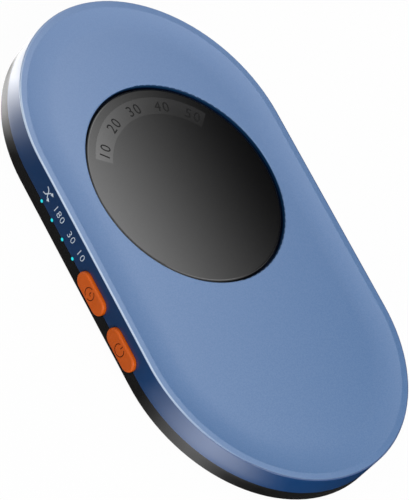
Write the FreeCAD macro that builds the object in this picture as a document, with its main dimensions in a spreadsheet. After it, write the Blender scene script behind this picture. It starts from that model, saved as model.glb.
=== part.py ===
import FreeCAD, Part
import math
import os
from types import SimpleNamespace

import Sketcher
from FreeCAD import Placement, Rotation, Vector

# A slim desk gadget that keeps a computer mouse awake: the mouse stands on the blue
# casing, and a motor turns the dark disc under its sensor through a worm and two gears.
# Frame: +Z up from the desk, +Y towards the end with the disc, -X is the button side.
# The origin lies on the desk under the middle of the casing. Lengths are in millimetres.

# Casing
CASING_SIZES = (
    ("case_width", 80.0),
    ("case_length", 138.3),
    ("case_depth", 9.8),
    ("foot_drop", 0.8),
    ("seam_rise", 3.6),
    ("wall", 1.6),
    ("lid_skin", 1.25),
    ("floor_skin", 1.2),
    ("border_width", 2.0),
    ("dish_run", 6.0),
    ("dish_depth", 0.34),
    ("rim_round", 0.3),
    ("base_round", 0.3),
    ("tongue_inset", 0.5),
    ("tongue_width", 0.6),
    ("tongue_rise", 0.5),
    ("tongue_play", 0.08),
    ("root_sunk", 0.4),
    ("overrun", 1.0),
)
# Feet and cover screws
FIXING_SIZES = (
    ("foot_radius", 4.5),
    ("foot_sunk", 0.4),
    ("foot_round", 0.3),
    ("foot_play", 0.05),
    ("foot_out", 26.0),
    ("foot_end_inset", 22.15),
    ("screw_out", 18.0),
    ("screw_along", 50.0),
    ("screw_radius", 0.85),
    ("screw_play", 0.15),
    ("screw_head_radius", 1.7),
    ("screw_head_depth", 0.9),
    ("screw_head_sunk", 0.5),
    ("screw_length", 4.6),
    ("screw_cross_length", 2.0),
    ("screw_cross_width", 0.4),
    ("screw_cross_depth", 0.5),
    ("screw_web", 0.9),
    ("boss_radius", 2.7),
    ("boss_gap", 0.1),
    ("pilot_spare", 0.3),
)
# Turning disc
DISC_SIZES = (
    ("disc_shift", 15.3),
    ("disc_gap", 0.45),
    ("hole_round", 0.35),
    ("face_radius", 28.05),
    ("face_recess", 1.05),
    ("face_plate", 0.8),
    ("face_round", 0.65),
    ("label_margin", 2.65),
    ("label_width", 5.0),
    ("label_depth", 0.15),
    ("label_play", 0.03),
    ("label_from_degrees", 44.5),
    ("label_sweep_degrees", 108.7),
    ("carrier_plate", 0.9),
    ("carrier_margin", 0.85),
    ("post_radius", 2.5),
    ("post_pilot", 0.75),
    ("running_play", 0.05),
    ("bush_wall", 0.9),
    ("hub_wall", 1.6),
    ("thrust_rise", 1.0),
    ("thrust_thick", 0.4),
    ("thrust_radius", 4.2),
    ("hub_lift", 0.2),
    ("bush_height", 3.9),
    ("keeper_gap", 0.1),
    ("keeper_radius", 3.2),
    ("keeper_thick", 0.3),
    ("keeper_play", 0.4),
    ("hub_screw_length", 3.5),
    ("hub_screw_head_radius", 1.5),
    ("hub_screw_head", 0.7),
    ("rib_thick", 1.0),
    ("rib_drop", 0.8),
    ("rib_count", 6),
    ("shield_play", 0.15),
    ("shield_wall", 1.1),
    ("shield_drop", 2.35),
    ("shield_lip_reach", 1.85),
    ("shield_lip_thick", 0.45),
    ("shield_notch_play", 0.5),
)
# Gears
GEAR_SIZES = (
    ("disc_module", 0.5),
    ("ring_inset", 5.55),
    ("pinion_teeth", 12),
    ("ring_depth", 1.6),
    ("ring_wall", 2.2),
    ("worm_module", 0.4),
    ("wheel_teeth", 24),
    ("wheel_width", 1.2),
    ("wheel_step", 0.2),
    ("wheel_hub_radius", 2.2),
    ("pinion_drop", 0.15),
    ("mesh_play", 0.05),
    ("backlash", 0.08),
    ("worm_backlash", 0.16),
    ("worm_pitch_radius", 1.4),
    ("worm_turns", 5),
    ("worm_thread_sunk", 0.1),
    ("worm_shoulder", 0.6),
    ("pin_radius", 0.6),
    ("pin_boss_radius", 1.8),
    ("pin_boss_gap", 0.1),
)
# Motor
MOTOR_SIZES = (
    ("shaft_radius", 0.4),
    ("shaft_play", 0.04),
    ("shaft_rise", 3.3),
    ("motor_offset", 6.5),
    ("motor_radius", 3.0),
    ("motor_length", 12.0),
    ("motor_skin", 0.3),
    ("motor_front", 0.5),
    ("magnet_wall", 0.65),
    ("magnet_length", 7.0),
    ("rotor_radius", 1.6),
    ("rotor_length", 6.6),
    ("cap_length", 1.2),
    ("tail_length", 0.6),
    ("cradle_play", 0.05),
    ("cradle_length", 5.5),
    ("cradle_reach", 6.6),
    ("strap_thick", 0.6),
    ("strap_screw_reach", 5.1),
    ("strap_screw_radius", 0.6),
    ("strap_head_radius", 1.1),
    ("strap_head", 0.6),
    ("strap_screw_length", 2.6),
    ("bearing_reach", 4.2),
    ("bearing_length", 1.5),
    ("bearing_half_width", 1.8),
    ("bearing_top", 1.6),
    ("bush_radius", 1.0),
    ("terminal_out", 1.2),
    ("lead_radius", 0.45),
    ("lead_pad_along", 16.5),
)
# Circuit board and what stands on it
BOARD_SIZES = (
    ("board_rise", 0.8),
    ("board_thick", 1.0),
    ("board_inset", 3.6),
    ("board_width", 8.0),
    ("board_arc_width", 5.4),
    ("board_near_end", 30.0),
    ("board_far_half", 7.5),
    ("board_screw_radius", 0.7),
    ("board_screw_head_radius", 1.3),
    ("board_screw_head", 0.5),
    ("board_screw_length", 2.2),
    ("board_screw_inset", 9.6),
    ("board_screw_near", 27.5),
    ("board_screw_far", 26.5),
    ("board_arc_screw_degrees", 112.0),
    ("standoff_radius", 1.6),
    ("usb_width", 8.94),
    ("usb_height", 3.16),
    ("usb_length", 7.35),
    ("usb_skin", 0.28),
    ("usb_back", 0.8),
    ("usb_inset", 0.3),
    ("usb_play", 0.17),
    ("tongue_half", 3.3),
    ("tongue_thick", 0.7),
    ("tongue_short", 1.0),
    ("led_width", 1.6),
    ("led_depth", 1.2),
    ("led_height", 1.2),
    ("led_first", 21.0),
    ("led_pitch", 5.5),
    ("outlet_radius", 0.5),
    ("outlet_play", 0.05),
    ("outlet_proud", 0.1),
    ("guide_thick", 1.0),
    ("guide_height", 1.0),
    ("guide_end", 1.2),
    ("guide_gap", 0.2),
    ("chip_side", 4.0),
    ("chip_height", 0.9),
    ("chip_along", 10.8),
    ("driver_side", 3.0),
    ("driver_along", 21.5),
    ("chip_inset", 9.4),
    ("capacitor_radius", 2.0),
    ("capacitor_height", 4.4),
    ("capacitor_base", 0.5),
    ("capacitor_degrees", 135.0),
)
# Buttons and their switches
BUTTON_SIZES = (
    ("button_length", 11.8),
    ("button_height", 4.8),
    ("button_rise", 4.15),
    ("button_proud", 1.1),
    ("button_round", 0.55),
    ("button_play", 0.15),
    ("button_travel", 0.5),
    ("mode_along", 5.65),
    ("button_pitch", 15.75),
    ("flange_side", 0.7),
    ("flange_height", 5.6),
    ("flange_thick", 1.0),
    ("flange_gap", 0.1),
    ("switch_length", 4.7),
    ("switch_depth", 3.5),
    ("switch_height", 2.4),
    ("switch_clear", 0.6),
    ("plunger_radius", 0.8),
    ("plunger_play", 0.1),
    ("plunger_seat", 0.9),
    ("plunger_end_gap", 0.2),
)

PRESSURE_ANGLE = math.radians(20)
RING_TIP_SHARE = 0.6
TIP_SHARE = 1.0
ROOT_SHARE = 1.25
LEAD_BEND_SHARE = 0.45
UP = Vector(0, 0, 1)
ALONG_X = Rotation(Vector(0, 1, 0), 90)
CYCLE_TO_X = Rotation(Vector(1, 1, 1), 120)
SHEET_NAME = "sizes"
LIGHTS = ("led_random", "led_180", "led_30", "led_10")

doc = FreeCAD.newDocument("mouse_mover")
SUBPARTS = []


class Size:
    """A size that knows its number and the formula in the sheet that gives it."""

    def __init__(self, number, formula):
        self.number = number
        self.formula = formula

    def _joined(self, other, sign, number):
        return Size(number, f"({self.formula} {sign} {formula_of(other)})")

    def __add__(self, other):
        return self._joined(other, "+", self.number + number_of(other))

    def __sub__(self, other):
        return self._joined(other, "-", self.number - number_of(other))

    def __mul__(self, other):
        return self._joined(other, "*", self.number * number_of(other))

    def __truediv__(self, other):
        return self._joined(other, "/", self.number / number_of(other))

    def __neg__(self):
        return Size(-self.number, f"(0 - {self.formula})")

    def rounded(self):
        return Size(round(self.number), f"round({self.formula})")


def number_of(size):
    return size.number if isinstance(size, Size) else size


def formula_of(size):
    return size.formula if isinstance(size, Size) else repr(size)


def make_sheet(groups):
    """Write every driving size to the sheet and return them by name."""
    sheet = doc.addObject("Spreadsheet::Sheet", SHEET_NAME)
    rows = [entry for group in groups for entry in group]
    for row, (alias, value) in enumerate(rows, start=1):
        sheet.set(f"A{row}", alias)
        sheet.set(f"B{row}", str(value))
        sheet.setAlias(f"B{row}", alias)
    doc.recompute()
    read = {alias: Size(sheet.get(alias), f"{SHEET_NAME}.{alias}") for alias, _ in rows}
    return SimpleNamespace(**read)


S = make_sheet((CASING_SIZES, FIXING_SIZES, DISC_SIZES, GEAR_SIZES, MOTOR_SIZES, BOARD_SIZES, BUTTON_SIZES))
ZERO = Size(0.0, "0")

# Levels above the desk
BASE = S.foot_drop
FLOOR = BASE + S.floor_skin
SEAM = BASE + S.seam_rise
TOP = BASE + S.case_depth
LID_FACE = TOP - S.dish_depth
CEILING = TOP - S.lid_skin
FACE_TOP = TOP - S.face_recess
CARRIER_TOP = FACE_TOP - S.face_plate
CARRIER_BOTTOM = CARRIER_TOP - S.carrier_plate
THRUST_SEAT = FLOOR + S.thrust_rise
BUSH_BOTTOM = THRUST_SEAT + S.thrust_thick
BUSH_TOP = BUSH_BOTTOM + S.bush_height
POST_TOP = BUSH_TOP + S.keeper_gap
SHAFT_LEVEL = FLOOR + S.shaft_rise
BOARD_BOTTOM = FLOOR + S.board_rise
BOARD_TOP = BOARD_BOTTOM + S.board_thick
BUTTON_LEVEL = BASE + S.button_rise
BOSS_TOP = BASE + S.screw_head_sunk + S.screw_head_depth + S.screw_web

# Places in plan
HALF_WIDTH = S.case_width / 2
HALF_RUN = (S.case_length - S.case_width) / 2
END_ARC = HALF_WIDTH - S.board_inset
HOLE_RADIUS = S.face_radius + S.disc_gap
LABEL_OUTER = S.face_radius - S.label_margin
RING_TEETH = ((S.face_radius - S.ring_inset) * 2 / S.disc_module).rounded()
RING_RADIUS = S.disc_module * RING_TEETH / 2
PINION_RADIUS = S.disc_module * S.pinion_teeth / 2
WHEEL_RADIUS = S.worm_module * S.wheel_teeth / 2
GEAR_ALONG = S.disc_shift - RING_RADIUS - PINION_RADIUS - S.mesh_play
WORM_ALONG = GEAR_ALONG - WHEEL_RADIUS - S.worm_pitch_radius - S.mesh_play
MODE_ALONG = -S.mode_along
POWER_ALONG = MODE_ALONG - S.button_pitch
BOARD_EDGE = -END_ARC


def bind(thing, prop, size):
    thing.setExpression(prop, formula_of(size))


def put(thing, x, y, z):
    """Place a shape by sizes from the sheet."""
    for axis, size in zip("xyz", (x, y, z)):
        bind(thing, f"Placement.Base.{axis}", size)
    return thing


def keep(thing, label):
    """Name a finished sub-part, which then has a file of its own."""
    thing.Label = label
    SUBPARTS.append(thing)
    return thing


# Plain shapes


def cylinder(name, radius, height, x, y, z, turn=None):
    shape = doc.addObject("Part::Cylinder", name)
    if turn is not None:
        shape.Placement = Placement(Vector(), turn)
    bind(shape, "Radius", radius)
    bind(shape, "Height", height)
    return put(shape, x, y, z)


def box(name, length, width, height, x, y, z):
    shape = doc.addObject("Part::Box", name)
    bind(shape, "Length", length)
    bind(shape, "Width", width)
    bind(shape, "Height", height)
    return put(shape, x, y, z)


def sector(name, radius, height, y, z, start, sweep):
    shape = doc.addObject("Part::Cylinder", name)
    shape.Placement = Placement(Vector(), Rotation(UP, start.number))
    bind(shape, "Placement.Rotation.Angle", start)
    bind(shape, "Radius", radius)
    bind(shape, "Height", height)
    bind(shape, "Angle", sweep)
    return put(shape, ZERO, y, z)


def joined(name, shapes):
    fuse = doc.addObject("Part::MultiFuse", name)
    fuse.Shapes = shapes
    fuse.Refine = True
    return fuse


def cut(name, base, tools):
    result = doc.addObject("Part::Cut", name)
    result.Base = base
    result.Tool = tools[0] if len(tools) == 1 else joined(f"{name}_tools", tools)
    result.Refine = True
    return result


def grouped(name, shapes):
    group = doc.addObject("Part::Compound", name)
    group.Links = shapes
    return group


def ring(name, outer, inner, height, x, y, z, turn=None, run=(0, 0, 1)):
    """A plain ring along its own axis, with a bore that runs past both faces."""
    body = cylinder(f"{name}_body", outer, height, x, y, z, turn)
    back = [size - S.overrun * step for size, step in zip((x, y, z), run)]
    bore = cylinder(f"{name}_bore", inner, height + S.overrun * 2, *back, turn)
    return cut(name, body, [bore])


# Sketched bodies


def start_body(name):
    body = doc.addObject("PartDesign::Body", name)
    body.Label = name
    return body


def origin_feature(body, role):
    return next(item for item in body.Origin.OriginFeatures if item.Role == role)


def sketch_on(body, name, offset, role="XY_Plane"):
    sketch = body.newObject("Sketcher::SketchObject", name)
    sketch.AttachmentSupport = (origin_feature(body, role), [""])
    sketch.MapMode = "FlatFace"
    bind(sketch, "AttachmentOffset.Base.z", offset)
    return sketch


def hold_point(sketch, item, point, x, y):
    """Hold a point of a sketch at its signed distances from the sketch's origin."""
    for kind, axis, size in (("DistanceX", -2, x), ("DistanceY", -1, y)):
        if size.number == 0:
            sketch.addConstraint(Sketcher.Constraint("PointOnObject", item, point, axis))
            continue
        index = sketch.addConstraint(Sketcher.Constraint(kind, -1, 1, item, point, size.number))
        bind(sketch, f"Constraints[{index}]", size)


def hold_radius(sketch, item, radius):
    index = sketch.addConstraint(Sketcher.Constraint("Radius", item, radius.number))
    bind(sketch, f"Constraints[{index}]", radius)


def draw_circle(sketch, x, y, radius):
    circle = Part.Circle(Vector(x.number, y.number, 0), UP, radius.number)
    item = sketch.addGeometry(circle, False)
    hold_point(sketch, item, 3, x, y)
    hold_radius(sketch, item, radius)


def draw_box(sketch, x0, y0, x1, y1):
    corners = [(x0, y0), (x1, y0), (x1, y1), (x0, y1)]
    points = [Vector(x.number, y.number, 0) for x, y in corners]
    sides = []
    for first, second in zip(points, points[1:] + points[:1]):
        sides.append(sketch.addGeometry(Part.LineSegment(first, second), False))
    for side, following in zip(sides, sides[1:] + sides[:1]):
        sketch.addConstraint(Sketcher.Constraint("Coincident", side, 2, following, 1))
    for index, side in enumerate(sides):
        sketch.addConstraint(Sketcher.Constraint("Vertical" if index % 2 else "Horizontal", side))
    hold_point(sketch, sides[0], 1, x0, y0)
    hold_point(sketch, sides[2], 1, x1, y1)


def draw_slot(sketch, x, y, half_run, radius, upright=False):
    """Draw a slot: two half circles joined by two straight sides."""
    step_x, step_y = (ZERO, half_run) if upright else (half_run, ZERO)
    turn = math.pi / 2 if upright else 0
    ends = []
    for sign, start in ((1, -math.pi / 2), (-1, math.pi / 2)):
        end_x = x + step_x if sign > 0 else x - step_x
        end_y = y + step_y if sign > 0 else y - step_y
        circle = Part.Circle(Vector(end_x.number, end_y.number, 0), UP, radius.number)
        arc = Part.ArcOfCircle(circle, start + turn, start + turn + math.pi)
        item = sketch.addGeometry(arc, False)
        ends.append((item, arc, end_x, end_y))
    sides = []
    for (_, arc, _, _), (_, following, _, _) in ((ends[0], ends[1]), (ends[1], ends[0])):
        line = Part.LineSegment(arc.EndPoint, following.StartPoint)
        sides.append(sketch.addGeometry(line, False))
    for (item, _, end_x, end_y) in ends:
        hold_point(sketch, item, 3, end_x, end_y)
    hold_radius(sketch, ends[0][0], radius)
    sketch.addConstraint(Sketcher.Constraint("Equal", ends[0][0], ends[1][0]))
    for side, first, second in ((sides[0], ends[0][0], ends[1][0]), (sides[1], ends[1][0], ends[0][0])):
        sketch.addConstraint(Sketcher.Constraint("Tangent", first, 2, side, 1))
        sketch.addConstraint(Sketcher.Constraint("Tangent", side, 2, second, 1))


def pad(body, name, sketch, length):
    feature = body.newObject("PartDesign::Pad", name)
    feature.Profile = sketch
    bind(feature, "Length", length)
    return feature


def pocket(body, name, sketch, depth, reverse=False):
    feature = body.newObject("PartDesign::Pocket", name)
    feature.Profile = sketch
    feature.Reversed = reverse
    bind(feature, "Length", depth)
    return feature


def edges_where(feature, test):
    """Name the edges of a feature that pass a test on their shape."""
    doc.recompute()
    return [f"Edge{index + 1}" for index, edge in enumerate(feature.Shape.Edges) if test(edge)]


def at_level(level):
    """A test for edges that lie flat at one level."""
    near = S.tongue_play.number / 2

    def test(edge):
        limits = edge.BoundBox
        return abs(limits.ZMin - level.number) < near and abs(limits.ZMax - level.number) < near

    return test


def round_edges(body, name, feature, test, radius):
    names = edges_where(feature, test)
    fillet = body.newObject("PartDesign::Fillet", name)
    fillet.Base = (feature, names)
    bind(fillet, "Radius", radius)
    return fillet


def slot_body(body, name, level, inset, height):
    """Pad the casing's outline, drawn in by an inset, from a level upwards."""
    sketch = sketch_on(body, f"{name}_outline", level)
    draw_slot(sketch, ZERO, ZERO, HALF_RUN, HALF_WIDTH - inset, upright=True)
    return pad(body, name, sketch, height)


def slot_pocket(body, name, level, inset, depth, reverse=False):
    sketch = sketch_on(body, f"{name}_outline", level)
    draw_slot(sketch, ZERO, ZERO, HALF_RUN, HALF_WIDTH - inset, upright=True)
    return pocket(body, name, sketch, depth, reverse)


def wall_windows(body, prefix):
    """Cut the button windows, light outlets and power inlet through a cover's wall."""
    start = -HALF_WIDTH - S.overrun
    depth = S.wall + S.overrun * 2
    window_radius = S.button_height / 2 + S.button_play
    half_run = (S.button_length - S.button_height) / 2
    for label, along in (("mode", MODE_ALONG), ("power", POWER_ALONG)):
        sketch = sketch_on(body, f"{prefix}_{label}_window", start, "YZ_Plane")
        draw_slot(sketch, along, BUTTON_LEVEL, half_run, window_radius)
        pocket(body, f"{prefix}_{label}_opening", sketch, depth, reverse=True)
    sketch = sketch_on(body, f"{prefix}_outlets", start, "YZ_Plane")
    for index in range(len(LIGHTS)):
        draw_circle(sketch, S.led_first - S.led_pitch * index, SEAM, S.outlet_radius + S.outlet_play)
    pocket(body, f"{prefix}_outlet_holes", sketch, depth, reverse=True)
    middle = BOARD_TOP + S.usb_height / 2
    radius = S.usb_height / 2 + S.usb_play
    sketch = sketch_on(body, f"{prefix}_inlet", -(S.case_length / 2 + S.overrun), "XZ_Plane")
    draw_slot(sketch, ZERO, middle, (S.usb_width - S.usb_height) / 2, radius)
    return pocket(body, f"{prefix}_inlet_opening", sketch, depth, reverse=True)


def screw_places():
    """The four cover screws, in plan."""
    return [
        (S.screw_out * side, S.screw_along * end)
        for end in (1, -1)
        for side in (1, -1)
    ]


def foot_places():
    """The four feet, in plan, with the words that name them."""
    along = S.case_length / 2 - S.foot_end_inset
    return [
        (f"foot_{end_word}_{side_word}", S.foot_out * side, along * end)
        for end_word, end in (("far", 1), ("near", -1))
        for side_word, side in (("right", 1), ("left", -1))
    ]


# Covers


def make_top_cover():
    """The blue shell: raised rim, dished face with a hole, hollow underside and screw bosses."""
    body = start_body("top_cover")
    slab = slot_body(body, "lid_slab", SEAM, ZERO, TOP - SEAM)
    round_edges(body, "lid_rim", slab, at_level(TOP), S.rim_round)
    mouth = sketch_on(body, "dish_mouth", TOP)
    draw_slot(mouth, ZERO, ZERO, HALF_RUN, HALF_WIDTH - S.border_width, upright=True)
    face = sketch_on(body, "dish_face", LID_FACE)
    draw_slot(face, ZERO, ZERO, HALF_RUN, HALF_WIDTH - S.border_width - S.dish_run, upright=True)
    dish = body.newObject("PartDesign::SubtractiveLoft", "lid_dish")
    dish.Profile = mouth
    dish.Sections = [face]
    dish.Ruled = True
    slot_pocket(body, "lid_hollow", SEAM, S.wall, CEILING - SEAM, reverse=True)
    groove_inset = S.tongue_inset - S.tongue_play
    groove_width = S.tongue_width + S.tongue_play * 2
    groove = sketch_on(body, "groove_outline", SEAM)
    draw_slot(groove, ZERO, ZERO, HALF_RUN, HALF_WIDTH - groove_inset, upright=True)
    draw_slot(groove, ZERO, ZERO, HALF_RUN, HALF_WIDTH - groove_inset - groove_width, upright=True)
    pocket(body, "lid_groove", groove, S.tongue_rise + S.tongue_play, reverse=True)
    hole = sketch_on(body, "disc_hole", TOP + S.overrun)
    draw_circle(hole, ZERO, S.disc_shift, HOLE_RADIUS)
    opening = pocket(body, "disc_opening", hole, S.lid_skin + S.overrun * 2)
    near = S.hole_round.number

    def hole_edge(edge):
        limits = edge.BoundBox
        return at_level(LID_FACE)(edge) and abs(limits.XMax - HOLE_RADIUS.number) < near

    round_edges(body, "hole_rim", opening, hole_edge, S.hole_round)
    bosses = sketch_on(body, "boss_circles", BOSS_TOP + S.boss_gap)
    for x, y in screw_places():
        draw_circle(bosses, x, y, S.boss_radius)
    pad(body, "lid_bosses", bosses, CEILING - BOSS_TOP - S.boss_gap + S.root_sunk)
    pilots = sketch_on(body, "pilot_circles", BOSS_TOP)
    for x, y in screw_places():
        draw_circle(pilots, x, y, S.screw_radius)
    pocket(body, "lid_pilots", pilots, S.screw_length - S.screw_web + S.pilot_spare, reverse=True)
    wall_windows(body, "lid")
    return keep(body, "top_cover")


def make_bottom_cover():
    """The black tray: floor, wall with tongue, and every post that carries something."""
    body = start_body("tray")
    slab = slot_body(body, "tray_slab", BASE, ZERO, S.seam_rise)
    round_edges(body, "tray_rim", slab, at_level(BASE), S.base_round)
    slot_pocket(body, "tray_hollow", SEAM, S.wall, S.seam_rise - S.floor_skin)
    tongue = sketch_on(body, "tongue_outline", SEAM)
    draw_slot(tongue, ZERO, ZERO, HALF_RUN, HALF_WIDTH - S.tongue_inset, upright=True)
    draw_slot(tongue, ZERO, ZERO, HALF_RUN, HALF_WIDTH - S.tongue_inset - S.tongue_width, upright=True)
    pad(body, "tray_tongue", tongue, S.tongue_rise)

    root = FLOOR - S.root_sunk
    cover_bosses = [(x, y, S.boss_radius) for x, y in screw_places()]
    posts = (
        ("cover_bosses", BOSS_TOP, cover_bosses),
        ("disc_step", THRUST_SEAT, [(ZERO, S.disc_shift, S.thrust_radius)]),
        ("disc_post", POST_TOP, [(ZERO, S.disc_shift, S.post_radius)]),
        ("pin_boss", wheel_bottom() - S.pin_boss_gap, [(ZERO, GEAR_ALONG, S.pin_boss_radius)]),
        ("standoffs", BOARD_BOTTOM, [(x, y, S.standoff_radius) for x, y in board_screw_places()]),
    )
    for name, level, circles in posts:
        sketch = sketch_on(body, f"{name}_circles", root)
        for x, y, radius in circles:
            draw_circle(sketch, x, y, radius)
        pad(body, name, sketch, level - root)

    cradle = sketch_on(body, "cradle_outline", root)
    middle = -S.motor_offset - S.motor_length / 2
    half = S.cradle_length / 2
    draw_box(cradle, middle - half, WORM_ALONG - S.cradle_reach, middle + half, WORM_ALONG + S.cradle_reach)
    pad(body, "motor_cradle", cradle, SHAFT_LEVEL - root)
    seat = sketch_on(body, "cradle_seat", middle - half - S.overrun, "YZ_Plane")
    draw_circle(seat, WORM_ALONG, SHAFT_LEVEL, S.motor_radius + S.cradle_play)
    pocket(body, "motor_seat", seat, S.cradle_length + S.overrun * 2, reverse=True)

    bearing = sketch_on(body, "bearing_outline", root)
    half_width = S.bearing_half_width
    draw_box(
        bearing,
        S.bearing_reach,
        WORM_ALONG - half_width,
        S.bearing_reach + S.bearing_length,
        WORM_ALONG + half_width,
    )
    pad(body, "bearing_block", bearing, SHAFT_LEVEL + S.bearing_top - root)
    eye = sketch_on(body, "bearing_eye", S.bearing_reach - S.overrun, "YZ_Plane")
    draw_circle(eye, WORM_ALONG, SHAFT_LEVEL, S.bush_radius)
    pocket(body, "bush_seat", eye, S.bearing_length + S.overrun * 2, reverse=True)

    pilots = (
        (
            "hub_pilot",
            POST_TOP,
            S.hub_screw_length - S.keeper_thick + S.pilot_spare,
            [(ZERO, S.disc_shift, S.post_pilot)],
        ),
        ("pin_seat", SHAFT_LEVEL, SHAFT_LEVEL - root, [(ZERO, GEAR_ALONG, S.pin_radius)]),
        (
            "board_pilots",
            BOARD_BOTTOM,
            S.board_screw_length - S.board_thick + S.pilot_spare,
            [(x, y, S.board_screw_radius) for x, y in board_screw_places()],
        ),
        (
            "strap_pilots",
            SHAFT_LEVEL,
            S.strap_screw_length - S.strap_thick + S.pilot_spare,
            [(middle, y, S.strap_screw_radius) for y in strap_screw_places()],
        ),
    )
    for name, level, depth, circles in pilots:
        sketch = sketch_on(body, f"{name}_circles", level)
        for x, y, radius in circles:
            draw_circle(sketch, x, y, radius)
        pocket(body, name, sketch, depth)

    upward = (
        ("foot_recesses", S.foot_sunk, [(x, y, S.foot_radius + S.foot_play) for _, x, y in foot_places()]),
        (
            "head_recesses",
            S.screw_head_sunk + S.screw_head_depth,
            [(x, y, S.screw_head_radius + S.screw_play) for x, y in screw_places()],
        ),
        (
            "screw_holes",
            BOSS_TOP - BASE + S.overrun,
            [(x, y, S.screw_radius + S.screw_play) for x, y in screw_places()],
        ),
    )
    for name, depth, circles in upward:
        sketch = sketch_on(body, f"{name}_circles", BASE)
        for x, y, radius in circles:
            draw_circle(sketch, x, y, radius)
        pocket(body, name, sketch, depth, reverse=True)
    wall_windows(body, "tray")
    return keep(body, "bottom_cover")


def make_feet():
    for name, x, y in foot_places():
        body = start_body(name)
        sketch = sketch_on(body, f"{name}_outline", ZERO)
        draw_circle(sketch, ZERO, ZERO, S.foot_radius)
        puck = pad(body, f"{name}_puck", sketch, S.foot_drop + S.foot_sunk)
        round_edges(body, f"{name}_edge", puck, at_level(ZERO), S.foot_round)
        put(body, x, y, ZERO)
        keep(body, name)


def make_cover_screws():
    """Four screws, put in from below, each with a crossed slot in its head."""
    screws = []
    level = BASE + S.screw_head_sunk
    half_long = S.screw_cross_length / 2
    half_wide = S.screw_cross_width / 2
    for index, (x, y) in enumerate(screw_places()):
        head = cylinder(f"head_{index}", S.screw_head_radius, S.screw_head_depth, x, y, level)
        shank_level = level + S.screw_head_depth
        shank = cylinder(f"shank_{index}", S.screw_radius, S.screw_length, x, y, shank_level)
        slots = []
        for word, half_x, half_y in (("a", half_long, half_wide), ("b", half_wide, half_long)):
            slot = box(
                f"cross_{index}{word}",
                half_x * 2,
                half_y * 2,
                S.screw_cross_depth + S.overrun,
                x - half_x,
                y - half_y,
                level - S.overrun,
            )
            slots.append(slot)
        screws.append(cut(f"screw_{index}", joined(f"blank_{index}", [head, shank]), slots))
    keep(grouped("cover_screw_set", screws), "cover_screws")


# Turning disc


def label_sector(name, play, level, height):
    """A flat piece of ring in the shape of the label, grown by a play."""
    outer = sector(
        f"{name}_outer",
        LABEL_OUTER + play,
        height,
        S.disc_shift,
        level,
        S.label_from_degrees,
        S.label_sweep_degrees,
    )
    hollow = LABEL_OUTER - S.label_width - play
    inner = cylinder(f"{name}_inner", hollow, height + S.overrun * 2, ZERO, S.disc_shift, level - S.overrun)
    return cut(name, outer, [inner])


def make_turntable_face():
    """The glossy disc, rounded at its edge, with a shallow recess for the label."""
    body = start_body("face_disc")
    sketch = sketch_on(body, "face_outline", CARRIER_TOP)
    draw_circle(sketch, ZERO, ZERO, S.face_radius)
    plate = pad(body, "face_pad", sketch, S.face_plate)
    round_edges(body, "face_edge", plate, at_level(FACE_TOP), S.face_round)
    put(body, ZERO, S.disc_shift, ZERO)
    level = FACE_TOP - S.label_depth
    recess = label_sector("label_recess", S.label_play, level, S.label_depth + S.overrun)
    keep(cut("face_with_recess", body, [recess]), "turntable_face")
    keep(label_sector("label_film", ZERO, level, S.label_depth), "face_label")


def make_turntable_carrier():
    """Plate, hub, ribs and ring gear, moulded in one piece."""
    body = start_body("carrier_plate_body")
    plate = sketch_on(body, "plate_outline", CARRIER_BOTTOM)
    draw_circle(plate, ZERO, ZERO, S.face_radius - S.carrier_margin)
    pad(body, "plate", plate, S.carrier_plate)
    hub_bottom = BUSH_BOTTOM + S.hub_lift
    bore = S.post_radius + S.running_play + S.bush_wall
    hub = sketch_on(body, "hub_outline", hub_bottom)
    draw_circle(hub, ZERO, ZERO, bore + S.hub_wall)
    pad(body, "hub", hub, CARRIER_BOTTOM - hub_bottom + S.root_sunk)
    ring_inner = RING_RADIUS - S.ring_wall - S.disc_module
    rib = sketch_on(body, "rib_outline", CARRIER_BOTTOM - S.rib_drop)
    draw_box(rib, bore + S.hub_wall / 2, -S.rib_thick / 2, ring_inner + S.ring_wall / 2, S.rib_thick / 2)
    rib_pad = pad(body, "rib", rib, S.rib_drop + S.root_sunk)
    doc.recompute()
    ribs = body.newObject("PartDesign::PolarPattern", "ribs")
    ribs.Originals = [rib_pad]
    ribs.Axis = (origin_feature(body, "Z_Axis"), [""])
    ribs.Angle = 360
    bind(ribs, "Occurrences", S.rib_count)
    body.Tip = ribs
    hub_bore = sketch_on(body, "bore_outline", CARRIER_TOP)
    draw_circle(hub_bore, ZERO, ZERO, bore)
    pocket(body, "hub_bore", hub_bore, CARRIER_TOP - hub_bottom + S.overrun)
    keeper = sketch_on(body, "keeper_outline", CARRIER_TOP)
    draw_circle(keeper, ZERO, ZERO, S.keeper_radius + S.keeper_play)
    pocket(body, "keeper_recess", keeper, CARRIER_TOP - BUSH_TOP)
    put(body, ZERO, S.disc_shift, ZERO)

    level = CARRIER_BOTTOM - S.ring_depth
    height = S.ring_depth + S.root_sunk
    outline = gear_outline(RING_TEETH, S.disc_module, RING_TIP_SHARE, S.backlash, 0)
    toothed = Part.Face(outline).extrude(UP * height.number)
    hollow = Part.makeCylinder(ring_inner.number, height.number)
    teeth = doc.addObject("Part::Feature", "ring_gear")
    teeth.Shape = toothed.cut(hollow)
    teeth.Placement = Placement(Vector(0, S.disc_shift.number, level.number), Rotation())
    keep(joined("carrier_with_gear", [body, teeth]), "turntable_carrier")


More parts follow.
